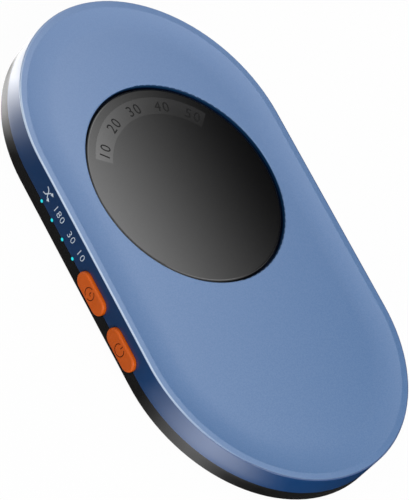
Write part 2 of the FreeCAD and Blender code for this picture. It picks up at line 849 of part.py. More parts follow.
def make_turntable_bearing():
    """Bush, thrust washer, keeper washer and the screw that holds the hub down."""
    bush_inner = S.post_radius + S.running_play
    bush_outer = bush_inner + S.bush_wall
    centre = (ZERO, S.disc_shift)
    keep(ring("bush_ring", bush_outer, bush_inner, S.bush_height, *centre, BUSH_BOTTOM), "turntable_bush")
    keep(
        ring("thrust_ring", S.thrust_radius, bush_inner, S.thrust_thick, *centre, THRUST_SEAT),
        "thrust_washer",
    )
    keeper = ring("keeper_ring", S.keeper_radius, S.post_pilot, S.keeper_thick, *centre, POST_TOP)
    keep(keeper, "retaining_washer")
    head_level = POST_TOP + S.keeper_thick
    shank_level = head_level - S.hub_screw_length
    head = cylinder("hub_head", S.hub_screw_head_radius, S.hub_screw_head, *centre, head_level)
    shank = cylinder("hub_shank", S.post_pilot, S.hub_screw_length, *centre, shank_level)
    keep(joined("hub_screw_blank", [head, shank]), "hub_screw")


def make_dust_ring():
    """The black ring under the hole: a wall round the disc and a lip below its edge."""
    inner = HOLE_RADIUS + S.shield_play
    bottom = CEILING - S.shield_drop
    wall = ring("shield_wall_ring", inner + S.shield_wall, inner, S.shield_drop, ZERO, S.disc_shift, bottom)
    lip_outer = inner + S.shield_wall / 2
    lip_inner = S.face_radius - S.shield_lip_reach
    lip = ring("shield_lip_ring", lip_outer, lip_inner, S.shield_lip_thick, ZERO, S.disc_shift, bottom)
    notch = cylinder(
        "shield_notch",
        PINION_RADIUS + S.disc_module + S.shield_notch_play,
        pinion_top() + S.pinion_drop - bottom + S.overrun,
        ZERO,
        GEAR_ALONG,
        bottom - S.overrun,
    )
    keep(cut("shield", joined("shield_blank", [wall, lip]), [notch]), "dust_ring")


# Gears


def involute(angle):
    return math.tan(angle) - angle


def polar(radius, angle):
    return Vector(radius * math.cos(angle), radius * math.sin(angle), 0)


def gear_outline(teeth, module, tip_share, backlash, turn):
    """The outline of a spur gear: each flank is an arc through three involute points."""
    count = round(teeth.number)
    pitch_radius = module.number * count / 2
    base_radius = pitch_radius * math.cos(PRESSURE_ANGLE)
    tip_radius = pitch_radius + tip_share * module.number
    root_radius = pitch_radius - ROOT_SHARE * module.number
    pitch_half = math.pi / (2 * count) - backlash.number / (2 * pitch_radius)

    def half_angle(radius):
        lean = math.acos(min(base_radius / radius, 1))
        return pitch_half + involute(PRESSURE_ANGLE) - involute(lean)

    low = max(root_radius, base_radius)
    middle = (low + tip_radius) / 2
    edges = []
    for index in range(count):
        centre = turn + index * 2 * math.pi / count
        following = centre + 2 * math.pi / count
        for side in (-1, 1):
            foot = polar(low, centre + side * half_angle(low))
            waist = polar(middle, centre + side * half_angle(middle))
            crown = polar(tip_radius, centre + side * half_angle(tip_radius))
            root = polar(root_radius, centre + side * half_angle(low))
            if side < 0:
                if root_radius < base_radius:
                    edges.append(Part.LineSegment(root, foot).toShape())
                edges.append(Part.Arc(foot, waist, crown).toShape())
                other = polar(tip_radius, centre + half_angle(tip_radius))
                edges.append(Part.Arc(crown, polar(tip_radius, centre), other).toShape())
            else:
                edges.append(Part.Arc(crown, waist, foot).toShape())
                if root_radius < base_radius:
                    edges.append(Part.LineSegment(foot, root).toShape())
                gap_end = polar(root_radius, following - half_angle(low))
                gap_middle = polar(root_radius, (centre + following) / 2)
                edges.append(Part.Arc(root, gap_middle, gap_end).toShape())
    return Part.Wire(edges)


def wheel_bottom():
    return SHAFT_LEVEL - S.wheel_width / 2


def pinion_top():
    return CARRIER_BOTTOM - S.pinion_drop


def make_reduction_gear():
    """Worm wheel below and pinion above, in one moulding that turns on a steel pin."""
    bottom = wheel_bottom()
    lead_slope = S.worm_module.number / (2 * S.worm_pitch_radius.number)
    half_twist = S.wheel_width.number / 2 * lead_slope / WHEEL_RADIUS.number
    sections = []
    for side in (-1, 1):
        outline = gear_outline(S.wheel_teeth, S.worm_module, TIP_SHARE, S.backlash, side * half_twist)
        outline.translate(UP * (bottom.number + (side + 1) / 2 * S.wheel_width.number))
        sections.append(outline)
    wheel = Part.makeLoft(sections, True, True)
    pinion_bottom = bottom + S.wheel_width + S.wheel_step
    height = pinion_top() - pinion_bottom
    outline = gear_outline(S.pinion_teeth, S.disc_module, TIP_SHARE, S.backlash, 0)
    pinion = Part.Face(outline).extrude(UP * height.number)
    pinion.translate(UP * pinion_bottom.number)
    hub_height = pinion_bottom - bottom
    hub = Part.makeCylinder(S.wheel_hub_radius.number, hub_height.number, UP * bottom.number)
    bore_radius = S.pin_radius.number + S.running_play.number
    bore = Part.makeCylinder(bore_radius, TOP.number)
    gear = doc.addObject("Part::Feature", "double_gear")
    gear.Shape = wheel.fuse([hub, pinion]).cut(bore).removeSplitter()
    gear.Placement = Placement(Vector(0, GEAR_ALONG.number, 0), Rotation())
    keep(gear, "reduction_gear")
    root = FLOOR - S.root_sunk
    height = pinion_top() - root
    keep(cylinder("axle", S.pin_radius, height, ZERO, GEAR_ALONG, root), "gear_pin")


def make_worm():
    """A right-hand worm with one thread, its groove facing the wheel at rest."""
    module = S.worm_module.number
    pitch = math.pi * module
    turns = S.worm_turns.number
    pitch_radius = S.worm_pitch_radius.number
    core_radius = pitch_radius - ROOT_SHARE * module
    inner = core_radius - S.worm_thread_sunk.number
    outer = pitch_radius + TIP_SHARE * module
    half = pitch / 4 - S.worm_backlash.number / 2
    start = -turns * pitch / 2
    corners = []
    for radius, side in ((inner, -1), (outer, -1), (outer, 1), (inner, 1)):
        lean = (radius - pitch_radius) * math.tan(PRESSURE_ANGLE)
        corners.append(Vector(radius, 0, start + side * (half - lean)))
    profile = Part.makePolygon(corners + corners[:1])
    helix = Part.makeHelix(pitch, turns * pitch, pitch_radius)
    helix.translate(UP * start)
    thread = Part.Wire(helix.Edges).makePipeShell([profile], True, True)
    core_half = -start + S.worm_shoulder.number
    core = Part.makeCylinder(core_radius, core_half * 2, UP * -core_half)
    bore = Part.makeCylinder(S.shaft_radius.number, core_half * 2, UP * -core_half)
    worm = doc.addObject("Part::Feature", "worm")
    worm.Shape = core.fuse(thread).cut(bore)
    worm.Placement = Placement(Vector(0, WORM_ALONG.number, SHAFT_LEVEL.number), CYCLE_TO_X)
    keep(worm, "drive_worm")


# Motor


def along_x(name, radius, length, x):
    """A round bar on the motor's axis, from x towards the worm."""
    return cylinder(name, radius, length, x, WORM_ALONG, SHAFT_LEVEL, ALONG_X)


def ring_along_x(name, outer, inner, length, x):
    return ring(name, outer, inner, length, x, WORM_ALONG, SHAFT_LEVEL, ALONG_X, (1, 0, 0))


def make_motor():
    """A small round motor: can, magnet, rotor, shaft and end cap."""
    front = -S.motor_offset
    back = front - S.motor_length
    inner = S.motor_radius - S.motor_skin
    can = along_x("can_blank", S.motor_radius, S.motor_length, back)
    hollow = along_x("can_hollow", inner, S.motor_length - S.motor_front + S.overrun, back - S.overrun)
    eye = along_x("can_eye", S.shaft_radius + S.shaft_play, S.motor_length + S.overrun, back)
    keep(cut("can", can, [hollow, eye]), "motor_can")
    middle = back + (S.motor_length - S.motor_front) / 2
    magnet_back = middle - S.magnet_length / 2
    keep(
        ring_along_x("magnet", inner, inner - S.magnet_wall, S.magnet_length, magnet_back), "motor_magnet"
    )
    rotor_back = middle - S.rotor_length / 2
    keep(ring_along_x("rotor", S.rotor_radius, S.shaft_radius, S.rotor_length, rotor_back), "motor_rotor")
    cap_back = back - S.cap_length
    cap_bore = S.shaft_radius + S.shaft_play
    keep(ring_along_x("cap", S.motor_radius, cap_bore, S.cap_length, cap_back), "motor_end_cap")
    tail = cap_back - S.tail_length
    far_end = S.bearing_reach + S.bearing_length
    keep(along_x("shaft", S.shaft_radius, far_end - tail, tail), "motor_shaft")
    keep(
        ring_along_x(
            "far_bush", S.bush_radius, S.shaft_radius + S.shaft_play, S.bearing_length, S.bearing_reach
        ),
        "shaft_bush",
    )


def strap_screw_places():
    return [WORM_ALONG + S.strap_screw_reach * side for side in (1, -1)]


def make_motor_strap():
    """A sheet strap over the motor with an ear and a screw on each side."""
    middle = -S.motor_offset - S.motor_length / 2
    back = middle - S.cradle_length / 2
    inner = S.motor_radius + S.cradle_play
    length = S.cradle_length
    hoop = along_x("hoop", inner + S.strap_thick, length, back)
    ears = box(
        "ears", length, S.cradle_reach * 2, S.strap_thick, back, WORM_ALONG - S.cradle_reach, SHAFT_LEVEL
    )
    room = along_x("hoop_room", inner, length + S.overrun * 2, back - S.overrun)
    depth = S.motor_radius * 2
    below = box(
        "hoop_below",
        length + S.overrun * 2,
        S.cradle_reach * 2,
        depth,
        back - S.overrun,
        WORM_ALONG - S.cradle_reach,
        SHAFT_LEVEL - depth,
    )
    holes = []
    screws = []
    head_level = SHAFT_LEVEL + S.strap_thick
    for index, y in enumerate(strap_screw_places()):
        hole = cylinder(f"ear_hole_{index}", S.strap_screw_radius, S.overrun * 2, middle, y, SHAFT_LEVEL)
        holes.append(hole)
        head = cylinder(f"strap_head_{index}", S.strap_head_radius, S.strap_head, middle, y, head_level)
        shank = cylinder(
            f"strap_shank_{index}",
            S.strap_screw_radius,
            S.strap_screw_length,
            middle,
            y,
            head_level - S.strap_screw_length,
        )
        screws.append(joined(f"strap_screw_{index}", [head, shank]))
    keep(cut("strap", joined("strap_blank", [hoop, ears]), [room, below] + holes), "motor_strap")
    keep(grouped("strap_screw_set", screws), "strap_screws")


def lead_shape(name, route, radius):
    """A wire along straight runs that are joined by tangent arcs."""
    edges = []
    here = route[0]
    for before, corner, after in zip(route, route[1:], route[2:]):
        arriving = (corner - before).normalize()
        leaving = (after - corner).normalize()
        half_turn = arriving.getAngle(leaving) / 2
        shorter = min(corner.distanceToPoint(before), corner.distanceToPoint(after))
        reach = LEAD_BEND_SHARE * shorter
        bend = reach / math.tan(half_turn)
        print(f"{name}: a bend of radius {bend:.1f} mm")
        start = corner - arriving * reach
        end = corner + leaving * reach
        inward = (leaving - arriving).normalize()
        middle = corner + inward * (bend / math.cos(half_turn) - bend)
        edges.append(Part.LineSegment(here, start).toShape())
        edges.append(Part.Arc(start, middle, end).toShape())
        here = end
    edges.append(Part.LineSegment(here, route[-1]).toShape())
    path = Part.Wire(edges)
    first = (route[1] - route[0]).normalize()
    profile = Part.Wire([Part.makeCircle(radius, route[0], first)])
    return path.makePipeShell([profile], True, False)


def make_motor_leads():
    """Two insulated wires from the motor's end cap to their pads on the board."""
    back = (-S.motor_offset - S.motor_length - S.cap_length).number
    radius = S.lead_radius.number
    board_level = BOARD_TOP.number + radius
    pad_x = BOARD_EDGE.number + S.board_width.number / 2
    run = (back - pad_x) / 3
    for name, side in (("motor_lead_red", 1), ("motor_lead_black", -1)):
        y = WORM_ALONG.number + side * S.terminal_out.number
        pad_y = -S.lead_pad_along.number + side * S.terminal_out.number
        route = [
            Vector(back, y, SHAFT_LEVEL.number),
            Vector(back - run, y, SHAFT_LEVEL.number),
            Vector(back - 2 * run, pad_y, board_level),
            Vector(pad_x, pad_y, board_level),
        ]
        lead = doc.addObject("Part::Feature", f"{name}_wire")
        lead.Shape = lead_shape(name, route, radius)
        lead.Placement = Placement()
        keep(lead, name)


# Circuit board


def arc_place(degrees):
    """A place on the middle line of the board's curved end."""
    radius = END_ARC - S.board_arc_width / 2
    angle = math.radians(degrees.number)
    return radius * math.cos(angle), HALF_RUN + radius * math.sin(angle)


def board_screw_places():
    x = -HALF_WIDTH + S.board_screw_inset
    return [(x, -S.board_screw_near), (x, S.board_screw_far), arc_place(S.board_arc_screw_degrees)]


def make_board():
    """One hooked board: a straight part by the buttons and a curved part to the inlet."""
    straight = box(
        "board_straight",
        S.board_width,
        S.board_near_end + HALF_RUN + S.board_thick,
        S.board_thick,
        BOARD_EDGE,
        -S.board_near_end,
        BOARD_BOTTOM,
    )
    round_end = cylinder("board_round", END_ARC, S.board_thick, ZERO, HALF_RUN, BOARD_BOTTOM)
    inside = cylinder(
        "board_inside",
        END_ARC - S.board_arc_width,
        S.board_thick + S.overrun * 2,
        ZERO,
        HALF_RUN,
        BOARD_BOTTOM - S.overrun,
    )
    low = box(
        "board_low",
        END_ARC * 2 + S.overrun * 2,
        END_ARC + S.overrun,
        S.board_thick + S.overrun * 2,
        BOARD_EDGE - S.overrun,
        HALF_RUN - END_ARC - S.overrun,
        BOARD_BOTTOM - S.overrun,
    )
    right = box(
        "board_right",
        END_ARC + S.overrun,
        END_ARC + S.overrun,
        S.board_thick + S.overrun * 2,
        S.board_far_half,
        HALF_RUN,
        BOARD_BOTTOM - S.overrun,
    )
    curved = cut("board_curved", round_end, [inside, low, right])
    corner = box(
        "board_corner",
        S.board_width,
        END_ARC,
        S.board_thick + S.overrun * 2,
        BOARD_EDGE,
        HALF_RUN,
        BOARD_BOTTOM - S.overrun,
    )
    trimmed = cut("board_leg", straight, [corner])
    holes = []
    screws = []
    for index, (x, y) in enumerate(board_screw_places()):
        name = f"board_hole_{index}"
        depth = S.board_thick + S.overrun * 2
        holes.append(cylinder(name, S.board_screw_radius, depth, x, y, BOARD_BOTTOM - S.overrun))
        head = cylinder(
            f"board_head_{index}", S.board_screw_head_radius, S.board_screw_head, x, y, BOARD_TOP
        )
        shank = cylinder(
            f"board_shank_{index}",
            S.board_screw_radius,
            S.board_screw_length,
            x,
            y,
            BOARD_TOP - S.board_screw_length,
        )
        screws.append(joined(f"board_screw_{index}", [head, shank]))
    keep(cut("board", joined("board_blank", [trimmed, curved]), holes), "main_board")
    keep(grouped("board_screw_set", screws), "board_screws")


def make_usb_socket():
    """A power inlet: drawn metal shell with a closed back and a thin contact tongue."""
    mouth = S.case_length / 2 - S.usb_inset
    middle = BOARD_TOP + S.usb_height / 2
    body = start_body("usb_shell")
    radius = S.usb_height / 2
    half_run = (S.usb_width - S.usb_height) / 2
    outer = sketch_on(body, "usb_outline", -mouth, "XZ_Plane")
    draw_slot(outer, ZERO, middle, half_run, radius)
    pad(body, "usb_blank", outer, S.usb_length)
    inner = sketch_on(body, "usb_mouth", -mouth, "XZ_Plane")
    draw_slot(inner, ZERO, middle, half_run, radius - S.usb_skin)
    pocket(body, "usb_hollow", inner, S.usb_length - S.usb_back, reverse=True)
    keep(body, "usb_socket")
    length = S.usb_length - S.usb_back - S.tongue_short
    tongue = box(
        "contact_tongue",
        S.tongue_half * 2,
        length,
        S.tongue_thick,
        -S.tongue_half,
        mouth - S.usb_length + S.usb_back,
        middle - S.tongue_thick / 2,
    )
    keep(tongue, "usb_contacts")


def make_lights():
    """Four side lights and the clear guide that carries them to the seam."""
    front = BOARD_EDGE + S.guide_gap * 2
    outlets = []
    guide_front = front - S.guide_gap - S.guide_thick
    reach = guide_front + S.guide_thick / 2 + HALF_WIDTH + S.outlet_proud
    for index, name in enumerate(LIGHTS):
        y = S.led_first - S.led_pitch * index
        corner = (front, y - S.led_width / 2, BOARD_TOP)
        keep(box(f"{name}_case", S.led_depth, S.led_width, S.led_height, *corner), name)
        start = -HALF_WIDTH - S.outlet_proud
        outlets.append(cylinder(f"outlet_{index}", S.outlet_radius, reach, start, y, SEAM, ALONG_X))
    last = S.led_first - S.led_pitch * (len(LIGHTS) - 1)
    rail = box(
        "guide_rail",
        S.guide_thick,
        S.led_first - last + S.guide_end * 2,
        S.guide_height,
        guide_front,
        last - S.guide_end,
        SEAM - S.guide_height / 2,
    )
    keep(joined("guide", [rail] + outlets), "light_guide")


def make_chips():
    """Controller, motor driver and the storage capacitor."""
    chip_x = -HALF_WIDTH + S.chip_inset
    for name, side, along in (
        ("controller_chip", S.chip_side, S.chip_along + S.chip_side / 2),
        ("motor_driver", S.driver_side, S.driver_along + S.driver_side / 2),
    ):
        chip = box(f"{name}_case", side, side, S.chip_height, chip_x - side / 2, -along, BOARD_TOP)
        keep(chip, name)
    x, y = arc_place(S.capacitor_degrees)
    half = S.capacitor_radius
    corner = (x - half, y - half, BOARD_TOP)
    foot = box("capacitor_foot", half * 2, half * 2, S.capacitor_base, *corner)
    can = cylinder("capacitor_can", S.capacitor_radius, S.capacitor_height, x, y, BOARD_TOP)
    keep(joined("capacitor", [foot, can]), "board_capacitor")


# Buttons


def make_button(name, along):
    """A side button: rounded head, retaining flange behind the wall, and its switch."""
    back = -HALF_WIDTH + S.wall + S.flange_gap
    front = -HALF_WIDTH - S.button_proud
    body = start_body(f"{name}_button_body")
    head = sketch_on(body, f"{name}_head_outline", front, "YZ_Plane")
    half_run = (S.button_length - S.button_height) / 2
    draw_slot(head, along, BUTTON_LEVEL, half_run, S.button_height / 2)
    head_pad = pad(body, f"{name}_head", head, back - front + S.flange_thick / 2)
    near = S.tongue_play.number / 2

    def front_edge(edge):
        limits = edge.BoundBox
        return limits.XMax < front.number + near

    round_edges(body, f"{name}_round", head_pad, front_edge, S.button_round)
    flange = sketch_on(body, f"{name}_flange_outline", back, "YZ_Plane")
    half_length = S.button_length / 2 + S.flange_side
    half_height = S.flange_height / 2
    draw_box(
        flange,
        along - half_length,
        BUTTON_LEVEL - half_height,
        along + half_length,
        BUTTON_LEVEL + half_height,
    )
    pad(body, f"{name}_flange", flange, S.flange_thick)
    keep(body, f"{name}_button")

    plunger_front = back + S.flange_thick
    switch_front = plunger_front + S.button_travel + S.switch_clear
    case = box(
        f"{name}_switch_case",
        S.switch_depth,
        S.switch_length,
        S.switch_height,
        switch_front,
        along - S.switch_length / 2,
        BOARD_TOP,
    )
    bore_depth = S.plunger_seat + S.button_travel + S.plunger_end_gap + S.overrun
    bore = cylinder(
        f"{name}_switch_bore",
        S.plunger_radius + S.plunger_play,
        bore_depth,
        switch_front - S.overrun,
        along,
        BUTTON_LEVEL,
        ALONG_X,
    )
    keep(cut(f"{name}_switch_body", case, [bore]), f"{name}_switch")
    plunger = cylinder(
        f"{name}_plunger_pin",
        S.plunger_radius,
        switch_front + S.plunger_seat - plunger_front,
        plunger_front,
        along,
        BUTTON_LEVEL,
        ALONG_X,
    )
    keep(plunger, f"{name}_plunger")


def check_and_write():
    """Stop on any failed object, then write each sub-part's file."""
    doc.recompute()
    for thing in doc.Objects:
        if "Invalid" in thing.State or "Error" in thing.State:
            raise RuntimeError(f"{thing.Name} ({thing.Label}) is {thing.State}")
    os.makedirs("parts", exist_ok=True)
    for thing in SUBPARTS:
        if thing.Shape.isNull() or not thing.Shape.isValid():
            raise RuntimeError(f"{thing.Label} has no valid shape")
    for thing in SUBPARTS:
        solids = len(thing.Shape.Solids)
        print(f"{thing.Label}: {solids} solid(s), {thing.Shape.Volume:.1f} mm3")
        thing.Shape.exportStep(os.path.join("parts", f"{thing.Label}.step"))


make_top_cover()
make_bottom_cover()
make_feet()
make_cover_screws()
make_turntable_face()
make_turntable_carrier()
make_turntable_bearing()
make_dust_ring()
make_reduction_gear()
make_worm()
make_motor()
make_motor_strap()
make_motor_leads()
make_board()
make_usb_socket()
make_lights()
make_chips()
make_button("mode", MODE_ALONG)
make_button("power", POWER_ALONG)
check_and_write()
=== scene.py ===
"""Looks of a flat desk device with a turning disc, side buttons and seam lights."""

import logging
import math
from dataclasses import dataclass
from enum import Enum
from typing import Any, Iterable, Optional, Sequence, Union

import bmesh
import bpy
from mathutils import Matrix, Vector


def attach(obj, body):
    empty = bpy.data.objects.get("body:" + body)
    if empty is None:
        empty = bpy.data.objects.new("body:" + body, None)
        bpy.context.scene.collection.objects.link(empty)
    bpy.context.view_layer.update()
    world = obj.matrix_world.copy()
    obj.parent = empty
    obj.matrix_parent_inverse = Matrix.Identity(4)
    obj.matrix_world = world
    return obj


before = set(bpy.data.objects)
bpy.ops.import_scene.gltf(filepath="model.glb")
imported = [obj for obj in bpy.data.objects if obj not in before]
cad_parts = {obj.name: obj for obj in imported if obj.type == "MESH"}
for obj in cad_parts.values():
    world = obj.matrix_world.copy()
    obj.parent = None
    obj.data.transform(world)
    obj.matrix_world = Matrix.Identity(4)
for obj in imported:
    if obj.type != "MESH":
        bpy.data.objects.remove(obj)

LOG = logging.getLogger("desk_device")
MM = 0.001
TURN = 2 * math.pi
DISC_ALONG = 15.3 * MM
TO_DISC = (0.0, -DISC_ALONG, 0.0)
TO_WALL = Matrix(((0, 0, -1, 0), (-1, 0, 0, 0), (0, 1, 0, 0), (0, 0, 0, 1)))
HALF_RUN = 29.15 * MM
HALF_WIDTH = 40.0 * MM
MARK_THICK = 0.03 * MM
WHITE = (1.0, 1.0, 1.0)
BLACK = (0.0, 0.0, 0.0)
Colour = tuple[float, float, float]
Place = tuple[float, float, float]
Point = tuple[float, float]
Span = tuple[float, float]
Shape = bmesh.types.BMesh
Value = Union[float, "Sock"]


def linear(red: int, green: int, blue: int) -> Colour:
    """A screen colour, of 0 to 255, as the linear one that shaders take."""
    parts = (red / 255, green / 255, blue / 255)
    return tuple(part / 12.92 if part <= 0.04045 else ((part + 0.055) / 1.055) ** 2.4 for part in parts)


def opaque(colour: Colour) -> tuple[float, float, float, float]:
    """The colour with a full alpha."""
    return (*colour, 1.0)


class Body(Enum):
    """The bodies of the frame that pieces ride on."""

    CASING = "casing"
    TURNTABLE = "turntable"
    MODE_KEY = "mode_key"
    POWER_KEY = "power_key"


class Sock:
    """An output of a node, with Python's operators for its value."""

    def __init__(self, tree: "Tree", out: bpy.types.NodeSocket) -> None:
        """Keep the tree that new Math nodes go into and the output that the value comes from."""
        self.tree = tree
        self.out = out

    def _math(self, operation: str, first: Value, second: Value = 0.0) -> "Sock":
        """The result of one Math node on two values."""
        node = self.tree.node("ShaderNodeMath", {"operation": operation}, {0: first, 1: second})
        return Sock(self.tree, node.outputs[0])

    def __add__(self, other: Value) -> "Sock":
        """Sum."""
        return self._math("ADD", self, other)

    def __radd__(self, other: Value) -> "Sock":
        """Sum, reflected."""
        return self._math("ADD", other, self)

    def __sub__(self, other: Value) -> "Sock":
        """Difference."""
        return self._math("SUBTRACT", self, other)

    def __rsub__(self, other: Value) -> "Sock":
        """Difference, reflected."""
        return self._math("SUBTRACT", other, self)

    def __mul__(self, other: Value) -> "Sock":
        """Product."""
        return self._math("MULTIPLY", self, other)

    def __rmul__(self, other: Value) -> "Sock":
        """Product, reflected."""
        return self._math("MULTIPLY", other, self)

    def __truediv__(self, other: Value) -> "Sock":
        """Quotient."""
        return self._math("DIVIDE", self, other)

    def __rtruediv__(self, other: Value) -> "Sock":
        """Quotient, reflected."""
        return self._math("DIVIDE", other, self)

    def __pow__(self, other: Value) -> "Sock":
        """Power."""
        return self._math("POWER", self, other)

    def __abs__(self) -> "Sock":
        """Size without sign."""
        return self._math("ABSOLUTE", self)

    def __gt__(self, other: Value) -> "Sock":
        """One where this is greater."""
        return self._math("GREATER_THAN", self, other)

    def __lt__(self, other: Value) -> "Sock":
        """One where this is less."""
        return self._math("LESS_THAN", self, other)

    def cycle(self, pitch: float) -> "Sock":
        """A sine wave of the value with a real pitch."""
        return self._math("SINE", self * (TURN / pitch))

    def least(self, other: Value) -> "Sock":
        """The smaller of two values."""
        return self._math("MINIMUM", self, other)

    def most(self, other: Value) -> "Sock":
        """The larger of two values."""
        return self._math("MAXIMUM", self, other)

    def ramp(self, start: float, end: float) -> "Sock":
        """A smooth step of the value.

        Args:
            start: Where the step is still 0.
            end: Where the step has reached 1.

        Returns:
            The step's socket.
        """
        low, high, first, last = (start, end, 0.0, 1.0) if start < end else (end, start, 1.0, 0.0)
        node = self.tree.node(
            "ShaderNodeMapRange",
            {"interpolation_type": "SMOOTHSTEP"},
            {"Value": self, "From Min": low, "From Max": high, "To Min": first, "To Max": last},
        )
        return Sock(self.tree, node.outputs[0])


class Tree:
    """A node tree with one way to add a node."""

    def __init__(self, owner: Union[bpy.types.Material, bpy.types.World]) -> None:
        """Empty the owner's tree.

        Args:
            owner: The material or world that has the tree.
        """
        owner.use_nodes = True
        self.nodes = owner.node_tree.nodes
        self.links = owner.node_tree.links
        self.nodes.clear()

    def node(
        self,
        kind: str,
        settings: Optional[dict[str, Any]] = None,
        sockets: Optional[dict[Union[str, int], Any]] = None,
    ) -> bpy.types.Node:
        """Add a node, set it, then give its sockets values or links.

        Args:
            kind: The node's type.
            settings: Its properties; "stops" gives a ramp's positions and colours.
            sockets: Its inputs by name or number.

        Returns:
            The node.
        """
        node = self.nodes.new(kind)
        for name, value in (settings or {}).items():
            if name == "stops":
                self._set_stops(node.color_ramp.elements, value)
            else:
                setattr(node, name, value)
        for key, value in (sockets or {}).items():
            self._feed(node.inputs[key], value)
        return node

    def _set_stops(self, elements: Any, stops: Sequence[tuple[float, Colour]]) -> None:
        """Set a ramp's stops.

        Args:
            elements: The ramp's elements.
            stops: Positions and colours, from low to high.
        """
        while len(elements) < len(stops):
            elements.new(1.0)
        for element, (position, colour) in zip(elements, stops):
            element.position = position
            element.color = opaque(colour)

    def _feed(self, socket: bpy.types.NodeSocket, value: Any) -> None:
        """Link or set one input.

        Args:
            socket: The input.
            value: A value, a colour or a Sock.
        """
        if isinstance(value, Sock):
            self.links.new(value.out, socket)
        elif isinstance(value, tuple) and len(value) == 3 and len(socket.default_value) == 4:
            socket.default_value = opaque(value)
        else:
            socket.default_value = value

    def out(self, node: bpy.types.Node, name: Union[str, int] = 0) -> Sock:
        """An output of a node as a Sock."""
        return Sock(self, node.outputs[name])

    def mix(self, share: Value, first: Any, second: Any) -> Sock:
        """Two colours mixed, with the share of the second."""
        node = self.node("ShaderNodeMix", {"data_type": "RGBA"}, {0: share, 6: first, 7: second})
        return self.out(node, 2)

    def place(self, shift: Place = (0.0, 0.0, 0.0)) -> Sock:
        """Object coordinates, moved by a Mapping node."""
        coordinate = self.out(self.node("ShaderNodeTexCoord"), "Object")
        return self.out(self.node("ShaderNodeMapping", None, {0: coordinate, 1: shift}))

    def split(self, vector: Sock) -> tuple[Sock, Sock, Sock]:
        """The three parts of a vector."""
        node = self.node("ShaderNodeSeparateXYZ", None, {0: vector})
        return self.out(node, 0), self.out(node, 1), self.out(node, 2)

    def noise(
        self, vector: Sock, size: float, detail: float = 3.0, stretch: Place = (1.0, 1.0, 1.0)
    ) -> Sock:
        """Noise with features of a real size.

        Args:
            vector: Where to read the noise.
            size: The size of its features in metres.
            detail: How many finer layers it has.
            stretch: How much finer it is along each axis.

        Returns:
            The noise, about 0.5 on average.
        """
        scaled = self.node("ShaderNodeVectorMath", {"operation": "MULTIPLY"}, {0: vector, 1: stretch})
        node = self.node(
            "ShaderNodeTexNoise", None, {0: self.out(scaled), "Scale": 1 / size, "Detail": detail}
        )
        return self.out(node, 0)

    def cells(self, vector: Sock, size: float) -> tuple[Sock, Sock]:
        """Cells of a size in metres: the distance from the middle and the cell's random colour."""
        node = self.node("ShaderNodeTexVoronoi", None, {0: vector, "Scale": 1 / size})
        return self.out(node, "Distance"), self.out(node, "Color")

    def seams(self, vector: Sock, size: float) -> Sock:
        """The distance to the nearest seam between cells, as a share of their size in metres."""
        settings = {"feature": "DISTANCE_TO_EDGE"}
        return self.out(self.node("ShaderNodeTexVoronoi", settings, {0: vector, "Scale": 1 / size}))

    def bump(self, height: Value, depth: float, under: Optional[Sock] = None) -> Sock:
        """A bumped normal.

        Args:
            height: The height, from 0 to 1.
            depth: What a height of 1 is in metres.
            under: A normal that the bump lies on.

        Returns:
            The normal's socket.
        """
        sockets = {"Strength": 1.0, "Distance": depth, "Height": height}
        if under is not None:
            sockets["Normal"] = under
        return self.out(self.node("ShaderNodeBump", None, sockets))

    def length(self, first: Sock, second: Sock) -> Sock:
        """The length of two parts at right angles."""
        return (first * first + second * second) ** 0.5

    def around(self, across: Sock, along: Sock) -> tuple[Sock, Sock]:
        """A point's distance from the casing's middle line, and the signed part of it along Y."""
        past = along.most(HALF_RUN) + along.least(-HALF_RUN)
        return self.length(across, past), past

    def blend(self, share: Value, first: Sock, second: Sock) -> Sock:
        """Two shaders mixed, with the share of the second."""
        return self.out(self.node("ShaderNodeMixShader", None, {0: share, 1: first, 2: second}))

    def show(self, shader: Sock) -> None:
        """Send a shader to the output."""
        self.node("ShaderNodeOutputMaterial", None, {0: shader})

    def emission(self, strength: Value) -> Sock:
        """A white emission shader."""
        return self.out(self.node("ShaderNodeEmission", None, {0: WHITE, 1: strength}))

    def principled(self, **sockets: Any) -> Sock:
        """A Principled shader, whose inputs have underscores for spaces."""
        named = {name.replace("_", " "): value for name, value in sockets.items()}
        return self.out(self.node("ShaderNodeBsdfPrincipled", None, named))


@dataclass(frozen=True)
class Finish:
    """A finish that makes its material once."""

    name: str

    def paint(self, tree: Tree) -> Sock:
        """Build the shader; each finish has its own."""
        raise NotImplementedError

    def material(self) -> bpy.types.Material:
        """Make the finish's material the first time it is asked for.

        Returns:
            The material.
        """
        found = bpy.data.materials.get(self.name)
        if found is None:
            found = bpy.data.materials.new(self.name)
            tree = Tree(found)
            tree.show(self.paint(tree))
        return found


@dataclass(frozen=True)
class Moulding(Finish):
    """Moulded plastic or rubber: fine spark texture, faint clouds, gloss that drifts."""

    colour: Colour
    roughness: float = 0.5
    grain: float = 0.25 * MM
    depth: float = 0.006 * MM
    drift: float = 0.12
    specular: float = 0.5
    cloud: float = 12.0 * MM
    cloud_span: Span = (0.3, 0.7)

    def paint(self, tree: Tree) -> Sock:
        """Build the plastic's shader.

        Args:
            tree: The material\'s tree.

        Returns:
            The shader.
        """
        where = tree.place()
        grain = tree.noise(where, self.grain)
        clouds = tree.noise(where, self.cloud)
        dark = tuple(part * (1 - self.drift) for part in self.colour)
        light = tuple(min(part * (1 + self.drift), 1.0) for part in self.colour)
        return tree.principled(
            Base_Color=tree.mix(clouds.ramp(*self.cloud_span), dark, light),
            Roughness=self.roughness + (clouds - 0.5) * 0.1 + (grain - 0.5) * 0.08,
            Specular_IOR_Level=self.specular,
            Normal=tree.bump(grain, self.depth),
        )


